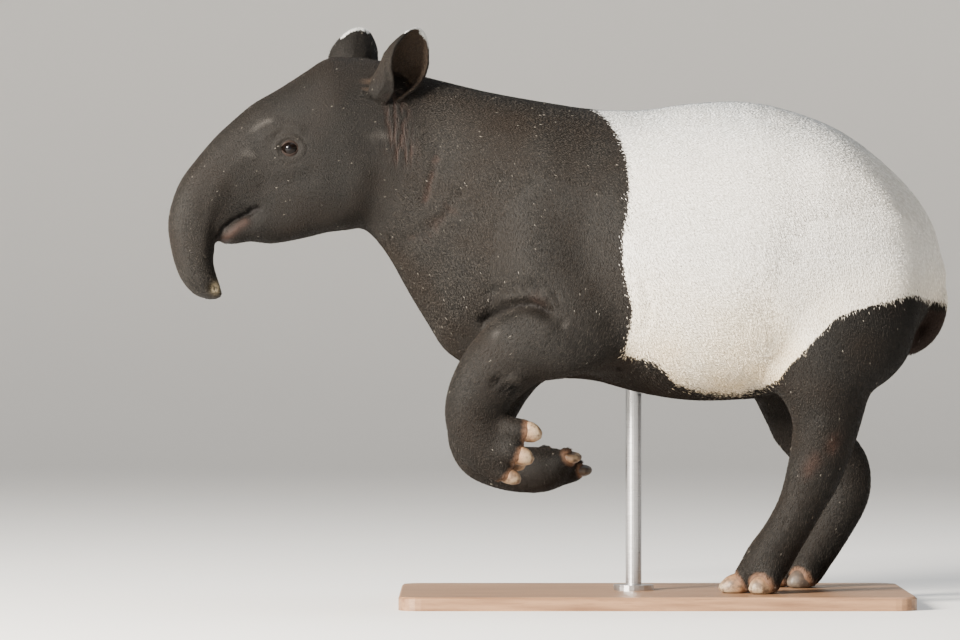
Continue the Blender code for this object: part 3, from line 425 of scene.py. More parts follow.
# The opening between the lids: how much longer it is at its front corner and how suddenly, how its
# arcs run into the front and back corners, and how much flatter the rows lie above and below.
CORNER_LENGTH = 0.18
CORNER_START = 6
CORNER_FRONT = 1.25
CORNER_BACK = 1.1
LID_FLATNESS = 0.9

# How far over the skin the lids' search for it starts, how far out they leave the eye for the
# skin, how far under the skin they may lie there, and their hidden rings: how far out and how deep
# under the height of the socket each is.
LID_PROBE = 0.06
LID_BLEND = 0.010
LID_SUNK = 0.003
LID_UNDER = ((LID_ROWS[-1][0] - 0.002, 0.010), (0.0005, 0.007))
LID_UNDER_TOP = 0.0105

# The sockets: the outer part where the smoothing fades, the rounds of it, and how wide the sunk
# skin inside the lids is, over what width it fades and how deep it is.
SOCKET_FADE = 0.2
SOCKET_ROUNDS = 300
SOCKET_SUNK = (0.024, 0.004, 0.0045)


def object_of(name, shape):
    """An object from a bmesh, which is used up."""
    mesh = bpy.data.meshes.new(name)
    shape.to_mesh(mesh)
    shape.free()
    obj = bpy.data.objects.new(name, mesh)
    bpy.context.scene.collection.objects.link(obj)
    return obj


def modify(obj, kind, **settings):
    """Gives the object a modifier and applies it."""
    modifier = obj.modifiers.new(kind.lower(), kind)
    for key, value in settings.items():
        setattr(modifier, key, value)
    graph = bpy.context.evaluated_depsgraph_get()
    mesh = bpy.data.meshes.new_from_object(obj.evaluated_get(graph))
    obj.modifiers.clear()
    obj.data = mesh


def shape_of(name, swell=0.0):
    """A bmesh of a frame node with its loose triangles joined, swollen all round."""
    shape = bmesh.new()
    shape.from_mesh(NODES[name].data)
    bmesh.ops.remove_doubles(shape, verts=shape.verts, dist=WELD)
    shape.normal_update()
    for vert in shape.verts:
        vert.co += vert.normal * swell
    return shape


def hoof_ways(name):
    """The way from the foot to a hoof, and the way up from its sole."""
    foot = FOOT_OF[name.split("_")[1]] + "_" + name.split("_")[2]
    way = sum(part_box(name), Vector()) - sum(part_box(foot), Vector())
    return np.array(way.normalized()), np.array(SOLE_WAYS[foot])


def hoof_shape(name, swell=0.0):
    """A bmesh of a hoof that is lower toward its tip, like a wedge."""
    shape = shape_of(name, swell)
    way, sole = hoof_ways(name)
    points = np.array([vert.co for vert in shape.verts])
    along, over = points @ way, points @ sole
    along = (along - along.min()) / np.ptp(along)
    fall = (over - over.min()) * along ** WEDGE_CURVE * WEDGE[name.split("_")[1]]
    for vert, drop in zip(shape.verts, fall):
        vert.co -= Vector(sole * drop)
    return shape


def add_shape(whole, shape):
    """Adds one bmesh to another, and uses it up."""
    mesh = bpy.data.meshes.new("part")
    shape.to_mesh(mesh)
    shape.free()
    whole.from_mesh(mesh)
    bpy.data.meshes.remove(mesh)


def read(collection, key, width, kind=np.float32):
    """One property of a mesh's elements as an array."""
    values = np.empty(len(collection) * width, kind)
    collection.foreach_get(key, values)
    return values.reshape(-1, width) if width > 1 else values


def points_of(mesh):
    """The places of a mesh's points."""
    return read(mesh.vertices, "co", 3).astype(float)


def normals_of(mesh):
    """The ways that a mesh's points face."""
    return read(mesh.vertex_normals, "vector", 3).astype(float)


def edges_of(mesh):
    """The two points of each edge of a mesh."""
    return read(mesh.edges, "vertices", 2, np.int32)


def triangles_of(mesh):
    """The three points of each triangle of a mesh."""
    mesh.calc_loop_triangles()
    return read(mesh.loop_triangles, "vertices", 3, np.int32)


def move_points(mesh, points):
    """Puts a mesh's points at new places."""
    mesh.vertices.foreach_set("co", points.astype(np.float32).ravel())
    mesh.update()


def keep(mesh, name, values):
    """Stores a number for each point of a mesh, for its material."""
    attribute = mesh.attributes.get(name) or mesh.attributes.new(name, "FLOAT", "POINT")
    attribute.data.foreach_set("value", values.astype(np.float32))


def kept(mesh, name):
    """The numbers stored under a name for each point of a mesh."""
    return read(mesh.attributes[name].data, "value", 1).astype(float)


def unit(vectors):
    """The vectors at a length of 1."""
    return vectors / np.maximum(np.linalg.norm(vectors, axis=1, keepdims=True), 1e-12)


def relax(values, edges, weight, rounds):
    """Draws the value at each point toward its neighbours' mean, as many times as asked."""
    values = values.copy()
    degree = np.maximum(np.bincount(edges.ravel(), minlength=len(values)), 1)
    one, two = edges[:, 0], edges[:, 1]
    for _ in range(rounds):
        mean = np.empty_like(values)
        for axis in range(values.shape[1]):
            column = values[:, axis]
            mean[:, axis] = (np.bincount(one, column[two], len(values))
                             + np.bincount(two, column[one], len(values)))
        values += weight[:, None] * (mean / degree[:, None] - values)
    return values


def eased(share):
    """A share between 0 and 1 that leaves 0 and reaches 1 slowly."""
    share = min(max(share, 0), 1)
    return share * share * (3 - 2 * share)


def turned(point):
    """Where a point of the straight animal goes as the neck bends and the head turns."""
    share = eased((TURN_START_X - point.x) / (TURN_START_X - TURN_END_X))
    pivot = Vector((TURN_PIVOT_X, 0, 0))
    return pivot + Matrix.Rotation(HEAD_TURN * share, 3, "Z") @ (point - pivot)


def twin(point):
    """The point on the other side of the animal."""
    straight = point.copy()
    for _ in range(10):
        straight += point - turned(straight)
    straight.y = -straight.y
    return turned(straight)


def surface(obj):
    """A tree that finds places on an object's surface."""
    mesh = obj.data
    return BVHTree.FromPolygons(points_of(mesh).tolist(), triangles_of(mesh).tolist())


def seen(tree, x, z):
    """The place on the left side that the camera sees at (x, z) of the middle plane."""
    way = (Vector((x, 0, z)) - CAMERA).normalized()
    return tree.ray_cast(CAMERA, way)[0]


def line_on(tree, places, side):
    """Close points along a line of the skin, from places seen from the side."""
    found = [seen(tree, x, z) for x, z in places]
    found = [place for place in found if place]
    if side > 0:
        found = [tree.find_nearest(twin(place))[0] for place in found]
    points = []
    for a, b in zip(found, found[1:]):
        count = max(int((b - a).length / LINE_STEP), 1)
        points += [a.lerp(b, i / count) for i in range(count)]
    points.append(found[-1])
    return np.array(points)


def near_line(points, line, width):
    """How near each point is to a line: 1 on it, and falling to 0 over the width."""
    share = np.zeros(len(points))
    reach = LINE_REACH * width
    low, high = line.min(0) - reach, line.max(0) + reach
    inside = np.flatnonzero(((points > low) & (points < high)).all(1))
    square = np.full(len(inside), reach * reach)
    for place in line:
        square = np.minimum(square, ((points[inside] - place) ** 2).sum(1))
    share[inside] = np.exp(-square / width ** 2)
    share[share < LINE_LEAST] = 0
    return share


def node_kdtree(names):
    """A tree of the nodes' corners, and the node of each."""
    owners = []
    corners = []
    for index, name in enumerate(names):
        shape = shape_of(name)
        bmesh.ops.subdivide_edges(shape, edges=shape.edges[:], cuts=1)
        corners += [vert.co.copy() for vert in shape.verts]
        owners += [index] * len(shape.verts)
        shape.free()
    tree = KDTree(len(corners))
    for index, corner in enumerate(corners):
        tree.insert(corner, index)
    tree.balance()
    return tree, owners


def fineness(points):
    """How much each point may be smoothed: little at toes, nostrils, mouth and eyes, else fully."""
    fine = [(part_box(name)[0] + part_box(name)[1]) / 2
            for name in (*HOOF_NODES, *EYE_NODES.values())]
    for x, z in (NOSTRIL, MOUTH_CORNER, MOUTH[1]):
        fine.append(turned(Vector((x, 0, z))))
    distance = np.full(len(points), 1.0)
    for place in fine:
        distance = np.minimum(distance, np.linalg.norm(points - np.array(place), axis=1))
    return np.clip((distance - FINE_NEAR) / (FINE_FAR - FINE_NEAR), FINE_LEAST, 1)


def fused_body(settings):
    """The flesh nodes fused into one closed skin, smoothed and thinned."""
    whole = bmesh.new()
    for name in FLESH_NODES + list(EYE_NODES.values()):
        add_shape(whole, shape_of(name, OVERLAP))
    for name in HOOF_NODES:
        add_shape(whole, hoof_shape(name, -HOOF_SINK))
    obj = object_of("skin", whole)
    modify(obj, "REMESH", mode="VOXEL", voxel_size=settings.voxel)
    points, edges = points_of(obj.data), edges_of(obj.data)
    weight = SMOOTHING_STEP * fineness(points)
    smooth = relax(points, edges, weight, settings.smoothing)
    points = smooth + relax(points - smooth, edges, weight, settings.smoothing // 2)
    move_points(obj.data, points)
    detail = obj.vertex_groups.new(name="detail")
    step = (1 - fineness(points)).round(1)
    for share in np.unique(step):
        detail.add(np.flatnonzero(step == share).tolist(), float(share), "REPLACE")
    faces = len(obj.data.polygons) * 2
    modify(obj, "DECIMATE", ratio=settings.triangles / faces, vertex_group="detail",
           invert_vertex_group=True, vertex_group_factor=settings.detail,
           use_collapse_triangulate=True)
    obj.vertex_groups.clear()
    return obj


def eye_frame(tree, side):
    """The middle of an eye, the ways forward, up and out, and its radius."""
    low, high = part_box(EYE_NODES[side])
    middle = (low + high) / 2
    radius = (high - low).length / (2 * math.sqrt(3))
    near = tree.find_nearest(middle)[0]
    out = (near - middle).normalized()
    forward = (out.cross(Vector((0, 0, 1))) * -side).normalized()
    up = (forward.cross(out) * -side).normalized()
    return middle, forward, up, out, radius


def press(points, normals, tree, places, width, height):
    """Raises or lowers the points near a line on the skin, on both sides of the animal."""
    for side in EYE_NODES:
        share = near_line(points, line_on(tree, places, side), width)
        points += normals * (height * share)[:, None]


def smooth_sockets(mesh, settings):
    """Draws the skin smoothly over the eyes, so that the lids can be laid on it."""
    points, edges = points_of(mesh), edges_of(mesh)
    for side in EYE_NODES:
        low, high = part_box(EYE_NODES[side])
        distance = np.linalg.norm(points - np.array((low + high) / 2), axis=1)
        weight = np.clip((settings.socket - distance) / (settings.socket * SOCKET_FADE), 0, 1)
        points = relax(points, edges, weight, SOCKET_ROUNDS)
    move_points(mesh, points)


def lid_ring(tree, side, settings):
    """One eye's lids as a closed ring: from the edge that lies on the eye out into the skin."""
    middle, forward, up, out, radius = eye_frame(tree, side)
    shape = bmesh.new()
    loops = [[] for _ in LID_ROWS]
    under = []
    for step in range(settings.lid_steps):
        angle = math.tau * step / settings.lid_steps
        across, rise = math.cos(angle), math.sin(angle)
        front = max(across, 0) ** CORNER_START
        long = settings.eye_length / 2 * (1 + CORNER_LENGTH * front)
        tall = settings.eye_height / 2
        narrow = abs(rise) ** (CORNER_FRONT if across > 0 else CORNER_BACK)
        edge = Vector((long * across, tall * math.copysign(narrow, rise)))
        way = Vector((across, rise * LID_FLATNESS)).normalized()
        upper = 0.5 + 0.5 * rise
        for index, (off, lift, lower_share) in enumerate(LID_ROWS):
            flat = edge + way * off
            spot = middle + forward * flat.x + up * flat.y
            hit = tree.ray_cast(spot + out * LID_PROBE, -out)[0]
            skin = (hit - spot).dot(out)
            ball = math.sqrt(max((radius + settings.lid_gap) ** 2 - flat.length_squared, 0))
            share = eased(off / LID_BLEND)
            base = max(ball, skin - LID_SUNK) * (1 - share) + skin * share
            height = base + lift * (lower_share + (1 - lower_share) * upper)
            loops[index].append(shape.verts.new(spot + out * height))
        for off, depth in LID_UNDER:
            flat = edge + way * off
            spot = middle + forward * flat.x + up * flat.y
            under.append(shape.verts.new(spot + out * (LID_UNDER_TOP - depth)))
    loops += [under[0::2], under[1::2]]
    for index in range(len(loops)):
        one, two = loops[index], loops[(index + 1) % len(loops)]
        for step in range(settings.lid_steps):
            after = (step + 1) % settings.lid_steps
            shape.faces.new((one[step], one[after], two[after], two[step]))
    bmesh.ops.recalc_face_normals(shape, faces=shape.faces)
    bmesh.ops.triangulate(shape, faces=shape.faces)
    return object_of("lids", shape)


def lower_sockets(mesh, tree, settings):
    """Sinks the skin inside the lids, so that the eye shows up to its corners."""
    points = points_of(mesh)
    width, fade, depth = SOCKET_SUNK
    for side in EYE_NODES:
        middle, _, _, out, _ = eye_frame(tree, side)
        away = points - np.array(middle)
        height = away @ np.array(out)
        across = np.linalg.norm(away - height[:, None] * np.array(out), axis=1)
        share = np.clip((width - across) / fade, 0, 1) * (height > 0)
        points -= np.array(out) * (share * depth)[:, None]
    move_points(mesh, points)


def rounded(obj, voxel, rounds):
    """Fuses an object on a grid, and gives its points as they lie after rounds of smoothing."""
    modify(obj, "REMESH", mode="VOXEL", voxel_size=voxel)
    mesh = obj.data
    return relax(points_of(mesh), edges_of(mesh), np.full(len(mesh.vertices), EVEN_STEP), rounds)


def smooth_ear(side, head, settings):
    """One ear with a rounded edge, and its root pushed into the head."""
    obj = object_of("ear", shape_of(EAR_NODES[side]))
    points = rounded(obj, settings.ear_voxel, settings.ear_smoothing)
    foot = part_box(EAR_NODES[side])[0].z + settings.ear_root_height
    way = head.find_nearest(Vector(points[points[:, 2] < foot].mean(0)))[1]
    share = np.clip((foot + EAR_ROOT_FADE - points[:, 2]) / settings.ear_root_height, 0, 1)
    distance = np.array([head.find_nearest(Vector(point))[3] for point in points])
    share *= np.clip(1 - distance / settings.ear_root_height, 0, 1)
    points -= np.array(way) * (share * settings.ear_sink)[:, None]
    move_points(obj.data, points)
    faces = len(obj.data.polygons) * 2
    modify(obj, "DECIMATE", ratio=settings.ear_triangles / faces, use_collapse_triangulate=True)
    return obj


def unite(obj, other):
    """Makes one closed surface of two that cross."""
    modify(obj, "BOOLEAN", operation="UNION", object=other, solver="MANIFOLD")
    bpy.data.objects.remove(other)


def saddle_depth(points):
    """How far each point is inside the white saddle, in metres, and less than 0 outside it."""
    scale = -CAMERA.y / (-CAMERA.y - np.abs(points[:, 1]))
    x = CAMERA.x + (points[:, 0] - CAMERA.x) * scale
    z = CAMERA.z + (points[:, 2] - CAMERA.z) * scale
    front_z, front_x = np.array(SADDLE_FRONT).T
    below_x, below_z = np.array(SADDLE_BELOW).T
    front = x - np.interp(z, front_z, front_x)
    below = z - np.interp(x, below_x, below_z)
    return np.minimum(front, below)


def distance_to(names, points, reach):
    """How far each point is from some frame nodes, up to a reach."""
    away = np.full(len(points), reach)
    for name in names:
        shape = shape_of(name)
        tree = BVHTree.FromBMesh(shape)
        low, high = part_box(name)
        inside = ((points > np.array(low) - reach) & (points < np.array(high) + reach)).all(1)
        for index in np.flatnonzero(inside):
            away[index] = min(away[index], tree.find_nearest(Vector(points[index]))[3])
        shape.free()
    return away


def rim_share(points, inside, start, end, depth):
    """How near the upper edge of an ear each of its points is, over a stretch of x."""
    step = np.floor(points[:, 0] / EAR_RIM_STEP).astype(int)
    step -= step.min()
    edge = np.full(step.max() + 1, -np.inf)
    np.maximum.at(edge, step[inside], points[inside, 2])
    below = edge[step] - points[:, 2]
    within = inside & (points[:, 0] > start) & (points[:, 0] < end)
    return np.where(within, np.exp(-(np.maximum(below, 0) / depth) ** 2), 0)


def node_of(points):
    """The place in COAT_NODES of the node that each point is nearest to."""
    tree, owners = node_kdtree(COAT_NODES)
    return np.array([owners[tree.find(point)[1]] for point in points])


def lie_of(mesh, regions):
    """The way that the coat lies at each point, along the skin."""
    ways = np.array([LIE[name] for name in COAT_NODES])[regions]
    ways = relax(unit(ways), edges_of(mesh), np.ones(len(ways)), LIE_SMOOTHING)
    normals = normals_of(mesh)
    ways -= normals * (ways * normals).sum(1)[:, None]
    return unit(ways)


def regions_of(points):
    """The place in COAT_NODES of the node that each point of the skin belongs to."""
    regions = node_of(points)
    for name in EAR_NODES.values():
        ear = regions == COAT_NODES.index(name)
        off = ear.copy()
        off[ear] = distance_to([name], points[ear], SEARCH_REACH) > EAR_REACH
        front = points[:, 0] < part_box(name)[0].x + EAR_BACK
        regions[off & front] = COAT_NODES.index("head")
        regions[off & ~front] = COAT_NODES.index("neck")
    return regions


def painted_light_and_shade_of(mesh, regions):
    """How grey the black coat is at each point, as painted light and shade: greyer where lit."""
    frost = [PAINTED_LIGHT_AND_SHADE[name.replace("_left", "").replace("_right", "")] for name in COAT_NODES]
    frost = np.array(frost)[regions][:, None]
    return relax(frost, edges_of(mesh), np.ones(len(frost)), PAINTED_LIGHT_AND_SHADE_SMOOTHING)[:, 0]


def marks_of(obj, regions):
    """What stands out at each point of the skin, from 0 to 1, under the names of MARKS."""
    mesh = obj.data
    points, tree = points_of(mesh), surface(obj)
    marks = {key: np.zeros(len(points)) for key in MARKS}

    def mark(key, values):
        marks[key] = np.maximum(marks[key], values)

    # Painted light and shade: the black coat is greyer where it is lit and blacker where it is
    # shaded.
    marks["frost"] = painted_light_and_shade_of(mesh, regions)
    for side in EYE_NODES:
        middle = np.array(eye_frame(tree, side)[0])
        distance = np.linalg.norm(points - middle, axis=1)
        for key, (edge, fade, most) in (("bare", LIDS_BARE), ("furless", LIDS_FURLESS)):
            mark(key, np.clip((edge - distance) / fade, 0, most))
        for key, places, width, strength in LINE_MARKS:
            mark(key, strength * near_line(points, line_on(tree, places, side), width))
    for places in SCARS:
        mark("scar", near_line(points, line_on(tree, places, -1), SCAR_WIDTH))
    gap = distance_to(HOOF_NODES, points, SEARCH_REACH)
    for key, (most, fall) in (("pad", TOE_PAD), ("furless", TOE_FURLESS)):
        mark(key, np.clip(most - gap / fall, 0, 1))
    tail = (regions == COAT_NODES.index("tail")) & (points[:, 2] < TAIL_WORN_BELOW)
    mark("bare", TAIL_WORN * tail)
    for name, start, end, depth in EAR_WHITE:
        inside = regions == COAT_NODES.index(name)
        mark("pale_edge", rim_share(points, inside, start, end, depth))
    for name in EAR_NODES.values():
        low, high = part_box(name)
        inward = (normals_of(mesh) * (np.array((low + high) / 2) - points)).sum(1) > 0
        mark("brown", (regions == COAT_NODES.index(name)) & inward)
    return marks


def mark_skin(obj):
    """Stores on the skin what its finish and the coat need: its regions, lie, marks and saddle."""
    mesh = obj.data
    points = points_of(mesh)
    regions = regions_of(points)
    keep(mesh, "region", regions)
    lie = mesh.attributes.new("lie", "FLOAT_VECTOR", "POINT")
    lie.data.foreach_set("vector", lie_of(mesh, regions).astype(np.float32).ravel())
    marks = marks_of(obj, regions)
    for key, values in marks.items():
        keep(mesh, key, values)
    white = marks["pale_edge"] > PALE_LEAST
    keep(mesh, "saddle", np.where(white, PALE_DEPTH, saddle_depth(points)))


def charts(points, triangles, regions):
    """Lays the triangles flat on a unit square, one patch for each node and facing.

    Returns the patch of each triangle, each patch's two axes, corner and place, and the scale.
    """
    corners = points[triangles]
    facing = np.cross(corners[:, 1] - corners[:, 0], corners[:, 2] - corners[:, 0])
    axis = np.abs(facing).argmax(1)
    sign = facing[np.arange(len(axis)), axis] > 0
    keys, chart = np.unique(regions[triangles[:, 0]] * 6 + axis * 2 + sign, return_inverse=True)
    patches = []
    for index, key in enumerate(keys):
        axes = [way for way in range(3) if way != key % 6 // 2]
        flat = corners[chart == index][:, :, axes].reshape(-1, 2)
        patches.append((axes, flat.min(0), np.ptp(flat, axis=0) + 2 * MARGIN))
    sizes = np.array([size for _, _, size in patches])
    row = max(math.sqrt(sizes.prod(1).sum()) * ROW_SLACK, sizes[:, 0].max())
    places = np.zeros((len(keys), 2))
    x = y = tall = 0.0
    for index in np.argsort(-sizes[:, 1]):
        if x + sizes[index, 0] > row:
            x, y, tall = 0.0, y + tall, 0.0
        places[index] = x, y
        x += sizes[index, 0]
        tall = max(tall, sizes[index, 1])
    scale = 1 / max(row, y + tall)
    return chart, [(axes, low, place) for (axes, low, _), place in zip(patches, places)], scale


def roots_on(mesh, regions, names, count, random):
    """Evenly scattered places on some nodes' skin: points, triangles, weights and flat places."""
    triangles, points = triangles_of(mesh), points_of(mesh)
    wanted = np.isin(regions, [COAT_NODES.index(name) for name in names])
    triangles = triangles[wanted[triangles[:, 0]]]
    chart, patches, scale = charts(points, triangles, regions)
    corners = points[triangles]
    sides = np.cross(corners[:, 1] - corners[:, 0], corners[:, 2] - corners[:, 0])
    area = np.linalg.norm(sides, axis=1) / 2
    spacing = math.sqrt(ROOM * area.sum() / count)
    draws = int(DRAWS * area.sum() / spacing ** 2)
    pick = random.choice(len(triangles), draws, p=area / area.sum())
    share = random.random((draws, 2))
    share[share.sum(1) > 1] = 1 - share[share.sum(1) > 1]
    weights = np.column_stack((1 - share.sum(1), share))
    roots = (corners[pick] * weights[:, :, None]).sum(1)
    rooms = np.floor(roots / spacing).astype(np.int64)
    cells = rooms @ np.array((1, GRID_ROW, GRID_ROW * GRID_ROW))
    first = random.permutation(np.unique(cells, return_index=True)[1])[:count]
    flat = np.zeros((len(first), 2))
    for index, (axes, low, place) in enumerate(patches):
        inside = chart[pick[first]] == index
        flat[inside] = (roots[first][inside][:, axes] - low + MARGIN + place) * scale
    return roots[first], triangles[pick[first]], weights[first], flat


def laid_on(tree, roots, ways, normals, lengths, lifts):
    """The height of each tuft's tip, raised where the skin under it rises, as in a fold."""
    tips = roots + ways * lengths[:, None] + normals * TUFT_PROBE
    lifts = lifts.copy()
    for index, (tip, normal) in enumerate(zip(tips.tolist(), (-normals).tolist())):
        depth = tree.ray_cast(tip, normal, 2 * TUFT_PROBE)[3]
        if depth is not None:
            lifts[index] = max(lifts[index], TUFT_PROBE - depth + TUFT_KEPT_LIFT * lifts[index])
    return lifts


def tuft_mesh(name, roots, ways, normals, lengths, widths, lifts, flat):
    """Closed four-sided tufts: two points at the root, one on the ridge and one at the tip."""
    side = np.cross(normals, ways)
    half = side * (widths / 2)[:, None]
    sunk = roots - normals * TUFT_SINK
    middle = (TUFT_RIDGE * lifts + TUFT_RISE)[:, None]
    ridge = roots + ways * (TUFT_RIDGE * lengths)[:, None] + normals * middle
    tip = roots + ways * lengths[:, None] + normals * lifts[:, None]
    points = np.stack((sunk + half, sunk - half, ridge, tip), 1).reshape(-1, 3)
    faces = np.array(((0, 3, 1), (0, 2, 3), (1, 3, 2), (0, 1, 2)))
    triangles = (np.arange(len(roots))[:, None, None] * 4 + faces).reshape(-1, 3)
    mesh = bpy.data.meshes.new(name)
    mesh.from_pydata(points.tolist(), [], triangles.tolist())
    patch = np.array(((-1, -1), (1, -1), (0, 0.2), (0, 1))) * PATCH
    places = (flat[:, None, :] + patch[faces.ravel()]).reshape(-1, 2)
    mesh.uv_layers.new(name="OFBake").data.foreach_set("uv", np.clip(places, 0, 1).ravel())
    mesh.polygons.foreach_set("use_smooth", np.ones(len(triangles), bool))
    mesh.update()
    obj = bpy.data.objects.new(name, mesh)
    bpy.context.scene.collection.objects.link(obj)
    return obj


def feed(tree, socket, value):
    """Gives a socket a number, a vector, a colour of three values or another node's output."""
    if isinstance(value, bpy.types.NodeSocket):
        tree.links.new(value, socket)
    elif socket.type == "RGBA":
        socket.default_value = (*value, 1.0)
    else:
        socket.default_value = value


def node(tree, kind, inputs=(), **settings):
    """Adds a shader node; inputs are pairs of a socket's name or number and what it is fed."""
    made = tree.nodes.new("ShaderNode" + kind)
    for key, value in settings.items():
        setattr(made, key, value)
    for name, value in inputs:
        feed(tree, made.inputs[name], value)
    return made


def material(name, **sockets):
    """A new material with one shader, its node tree and its shader."""
    made = bpy.data.materials.new(name)
    made.use_nodes = True
    tree = made.node_tree
    shader = tree.nodes["Principled BSDF"]
    for key, value in sockets.items():
        shader.inputs[key.replace("_", " ")].default_value = value
    return made, tree, shader


def mixed(tree, share, one, two, blend="MIX"):
    """The colour between two colours."""
    made = node(tree, "Mix", ((0, share), (6, one), (7, two)), data_type="RGBA", blend_type=blend)
    return made.outputs[2]


def ranged(tree, value, low, high, start=0.0, end=1.0):
    """A value brought from one range to another."""
    made = node(tree, "MapRange", (("Value", value), ("From Min", low), ("From Max", high),
                                   ("To Min", start), ("To Max", end)))
    return made.outputs[0]


def maths(tree, operation, one, two):
    """What an operation on two values gives."""
    made = node(tree, "Math", ((0, one), (1, two)), operation=operation)
    return made.outputs[0]


def attribute(tree, name):
    """The number that a piece's points store under a name."""
    return node(tree, "Attribute", attribute_name=name).outputs["Fac"]


def object_place(tree):
    """The place of a point on the piece, in metres."""
    return node(tree, "TexCoord").outputs["Object"]


def stretched(tree, scale):
    """The place on the piece, scaled along each axis."""
    inputs = (("Vector", object_place(tree)), ("Scale", scale))
    return node(tree, "Mapping", inputs).outputs[0]


def noise(tree, scale, detail=4.0, vector=None):
    """An even cloud of values round 0.5."""
    place = vector or object_place(tree)
    made = node(tree, "TexNoise", (("Vector", place), ("Scale", scale), ("Detail", detail)))
    return made.outputs["Fac"]


def bump(tree, shader, height, strength, distance):
    """Roughens a finish by a height."""
    made = node(tree, "Bump", (("Strength", strength), ("Distance", distance), ("Height", height)))
    tree.links.new(made.outputs[0], shader.inputs["Normal"])


def black_coat(tree, settings, tone, patches):
    """The black hairs: greyed by painted light and shade, browner in places, with old scars."""
    shade = mixed(tree, maths(tree, "MULTIPLY", tone, attribute(tree, "frost")), settings.black,
                  settings.black_pale)
    shade = mixed(tree, ranged(tree, patches, 0.4, 0.7, 0.0, 0.6), shade, settings.brown)
    scar = maths(tree, "MULTIPLY", attribute(tree, "scar"), 0.6)
    return mixed(tree, scar, shade, settings.scar)


def white_coat(tree, settings, tone, patches):
    """White hairs: cream and painted shade low on the flank, cool painted shade on the back."""
    shade = mixed(tree, tone, settings.white_shade, settings.white)
    # Low on the flank the white turns cream and darker, cream hair with painted shade; along the
    # back it turns a darker cool grey, which is painted shade.
    height = node(tree, "SeparateXYZ", ((0, object_place(tree)),)).outputs[2]
    low = maths(tree, "MULTIPLY", ranged(tree, height, *CREAM_AND_SHADE_HEIGHTS),
                ranged(tree, patches, 0.2, 0.6, 0.4, 1))
    shade = mixed(tree, low, shade, settings.cream, "MULTIPLY")
    high = maths(tree, "MULTIPLY", ranged(tree, height, *COOL_SHADE_HEIGHTS),
                 ranged(tree, patches, 0.3, 0.6, 0.6, 1))
    return mixed(tree, high, shade, settings.cool, "MULTIPLY")


def coat_finish(name, settings, tufted):
    """The black and white coat, for the skin under the tufts or for the tufts."""
    made, tree, shader = material(name, Roughness=0.6, Specular_IOR_Level=0.14)
    folds = ranged(tree, noise(tree, 1.0, 3.0, stretched(tree, WRINKLE_SCALE)), 0.42, 0.72)
    wrinkles = maths(tree, "MULTIPLY", folds, attribute(tree, "wrinkled"))
    fine = noise(tree, FINE_HAIR)
    patches = noise(tree, 9.0, 5.0)
    tone = attribute(tree, "tone") if tufted else ranged(tree, fine, 0.35, 0.7)
    black = black_coat(tree, settings, tone, patches)
    white = white_coat(tree, settings, tone, patches)
    inside = attribute(tree, "saddle")
    if tufted:
        black = mixed(tree, ranged(tree, tone, 1.2, 1.6), black, settings.fleck)
    else:
        ragged = ranged(tree, noise(tree, 160.0), 0, 1, -RAGGED_EDGE, RAGGED_EDGE)
        inside = maths(tree, "ADD", inside, ragged)
        # The skin under the tufts is darkened: painted shade deep between the hairs.
        black = mixed(tree, 1.0, black, (settings.under,) * 3, "MULTIPLY")
        white = mixed(tree, 1.0, white, (settings.under_white,) * 3, "MULTIPLY")
    shade = mixed(tree, ranged(tree, inside, -0.0005, 0.0005), black, white)
    blush = maths(tree, "MULTIPLY", attribute(tree, "blush"), ranged(tree, fine, 0.3, 0.7, 0.5, 1))
    blush = maths(tree, "MAXIMUM", blush, maths(tree, "MULTIPLY", wrinkles, 0.55))
    shade = mixed(tree, blush, shade, settings.blush)
    inner = mixed(tree, tone, settings.brown, settings.brown_pale)
    brown = maths(tree, "MULTIPLY", attribute(tree, "brown"),
                  ranged(tree, inside, 0.004, 0.0, 0.0, 0.85))
    shade = mixed(tree, brown, shade, inner)
    for mark in ("bare", "crust", "pad"):
        shade = mixed(tree, attribute(tree, mark), shade, getattr(settings, mark))
    # Painted shade deep in the mouth, the nostrils and the creases.
    shade = mixed(tree, maths(tree, "MULTIPLY", attribute(tree, "dark"), 0.92), shade, GROOVE_SHADE)
    tree.links.new(shade, shader.inputs["Base Color"])
    if not tufted:
        fur = maths(tree, "ADD", fine, noise(tree, 1400.0, 3.0))
        height = maths(tree, "ADD", fur, maths(tree, "MULTIPLY", wrinkles, -WRINKLE_DEPTH))
        bump(tree, shader, height, 0.6, 0.0012)
    return made


def horn_finish(settings):
    """Horn that is paler at the tip, with growth rings, cracks and earth on it."""
    made, tree, shader = material("horn", Roughness=0.55)
    along = attribute(tree, "along")
    ringed = (("Scale", 1.0), ("Detail", 3.0), ("W", maths(tree, "MULTIPLY", along, HORN_RINGS)))
    rings = node(tree, "TexNoise", ringed, noise_dimensions="1D").outputs["Fac"]
    worn = noise(tree, 70.0, 6.0)
    shade = mixed(tree, ranged(tree, along, 0.45, 0.85), settings.horn, settings.horn_pale)
    shade = mixed(tree, ranged(tree, rings, 0.35, 0.75, 0, 0.4), shade, settings.horn)
    shade = mixed(tree, ranged(tree, worn, 0.47, 0.58, 0, 0.9), shade, settings.dirt)
    cracks = node(tree, "TexVoronoi", (("Scale", 55.0),), feature="DISTANCE_TO_EDGE")
    cracked = ranged(tree, cracks.outputs["Distance"], 0.10, 0.0, 0, 0.8)
    shade = mixed(tree, cracked, shade, settings.dirt)
    shade = mixed(tree, attribute(tree, "dark"), shade, settings.horn_dark)
    tree.links.new(shade, shader.inputs["Base Color"])
    bump(tree, shader, maths(tree, "ADD", rings, worn), 0.5, 0.0006)
    return made


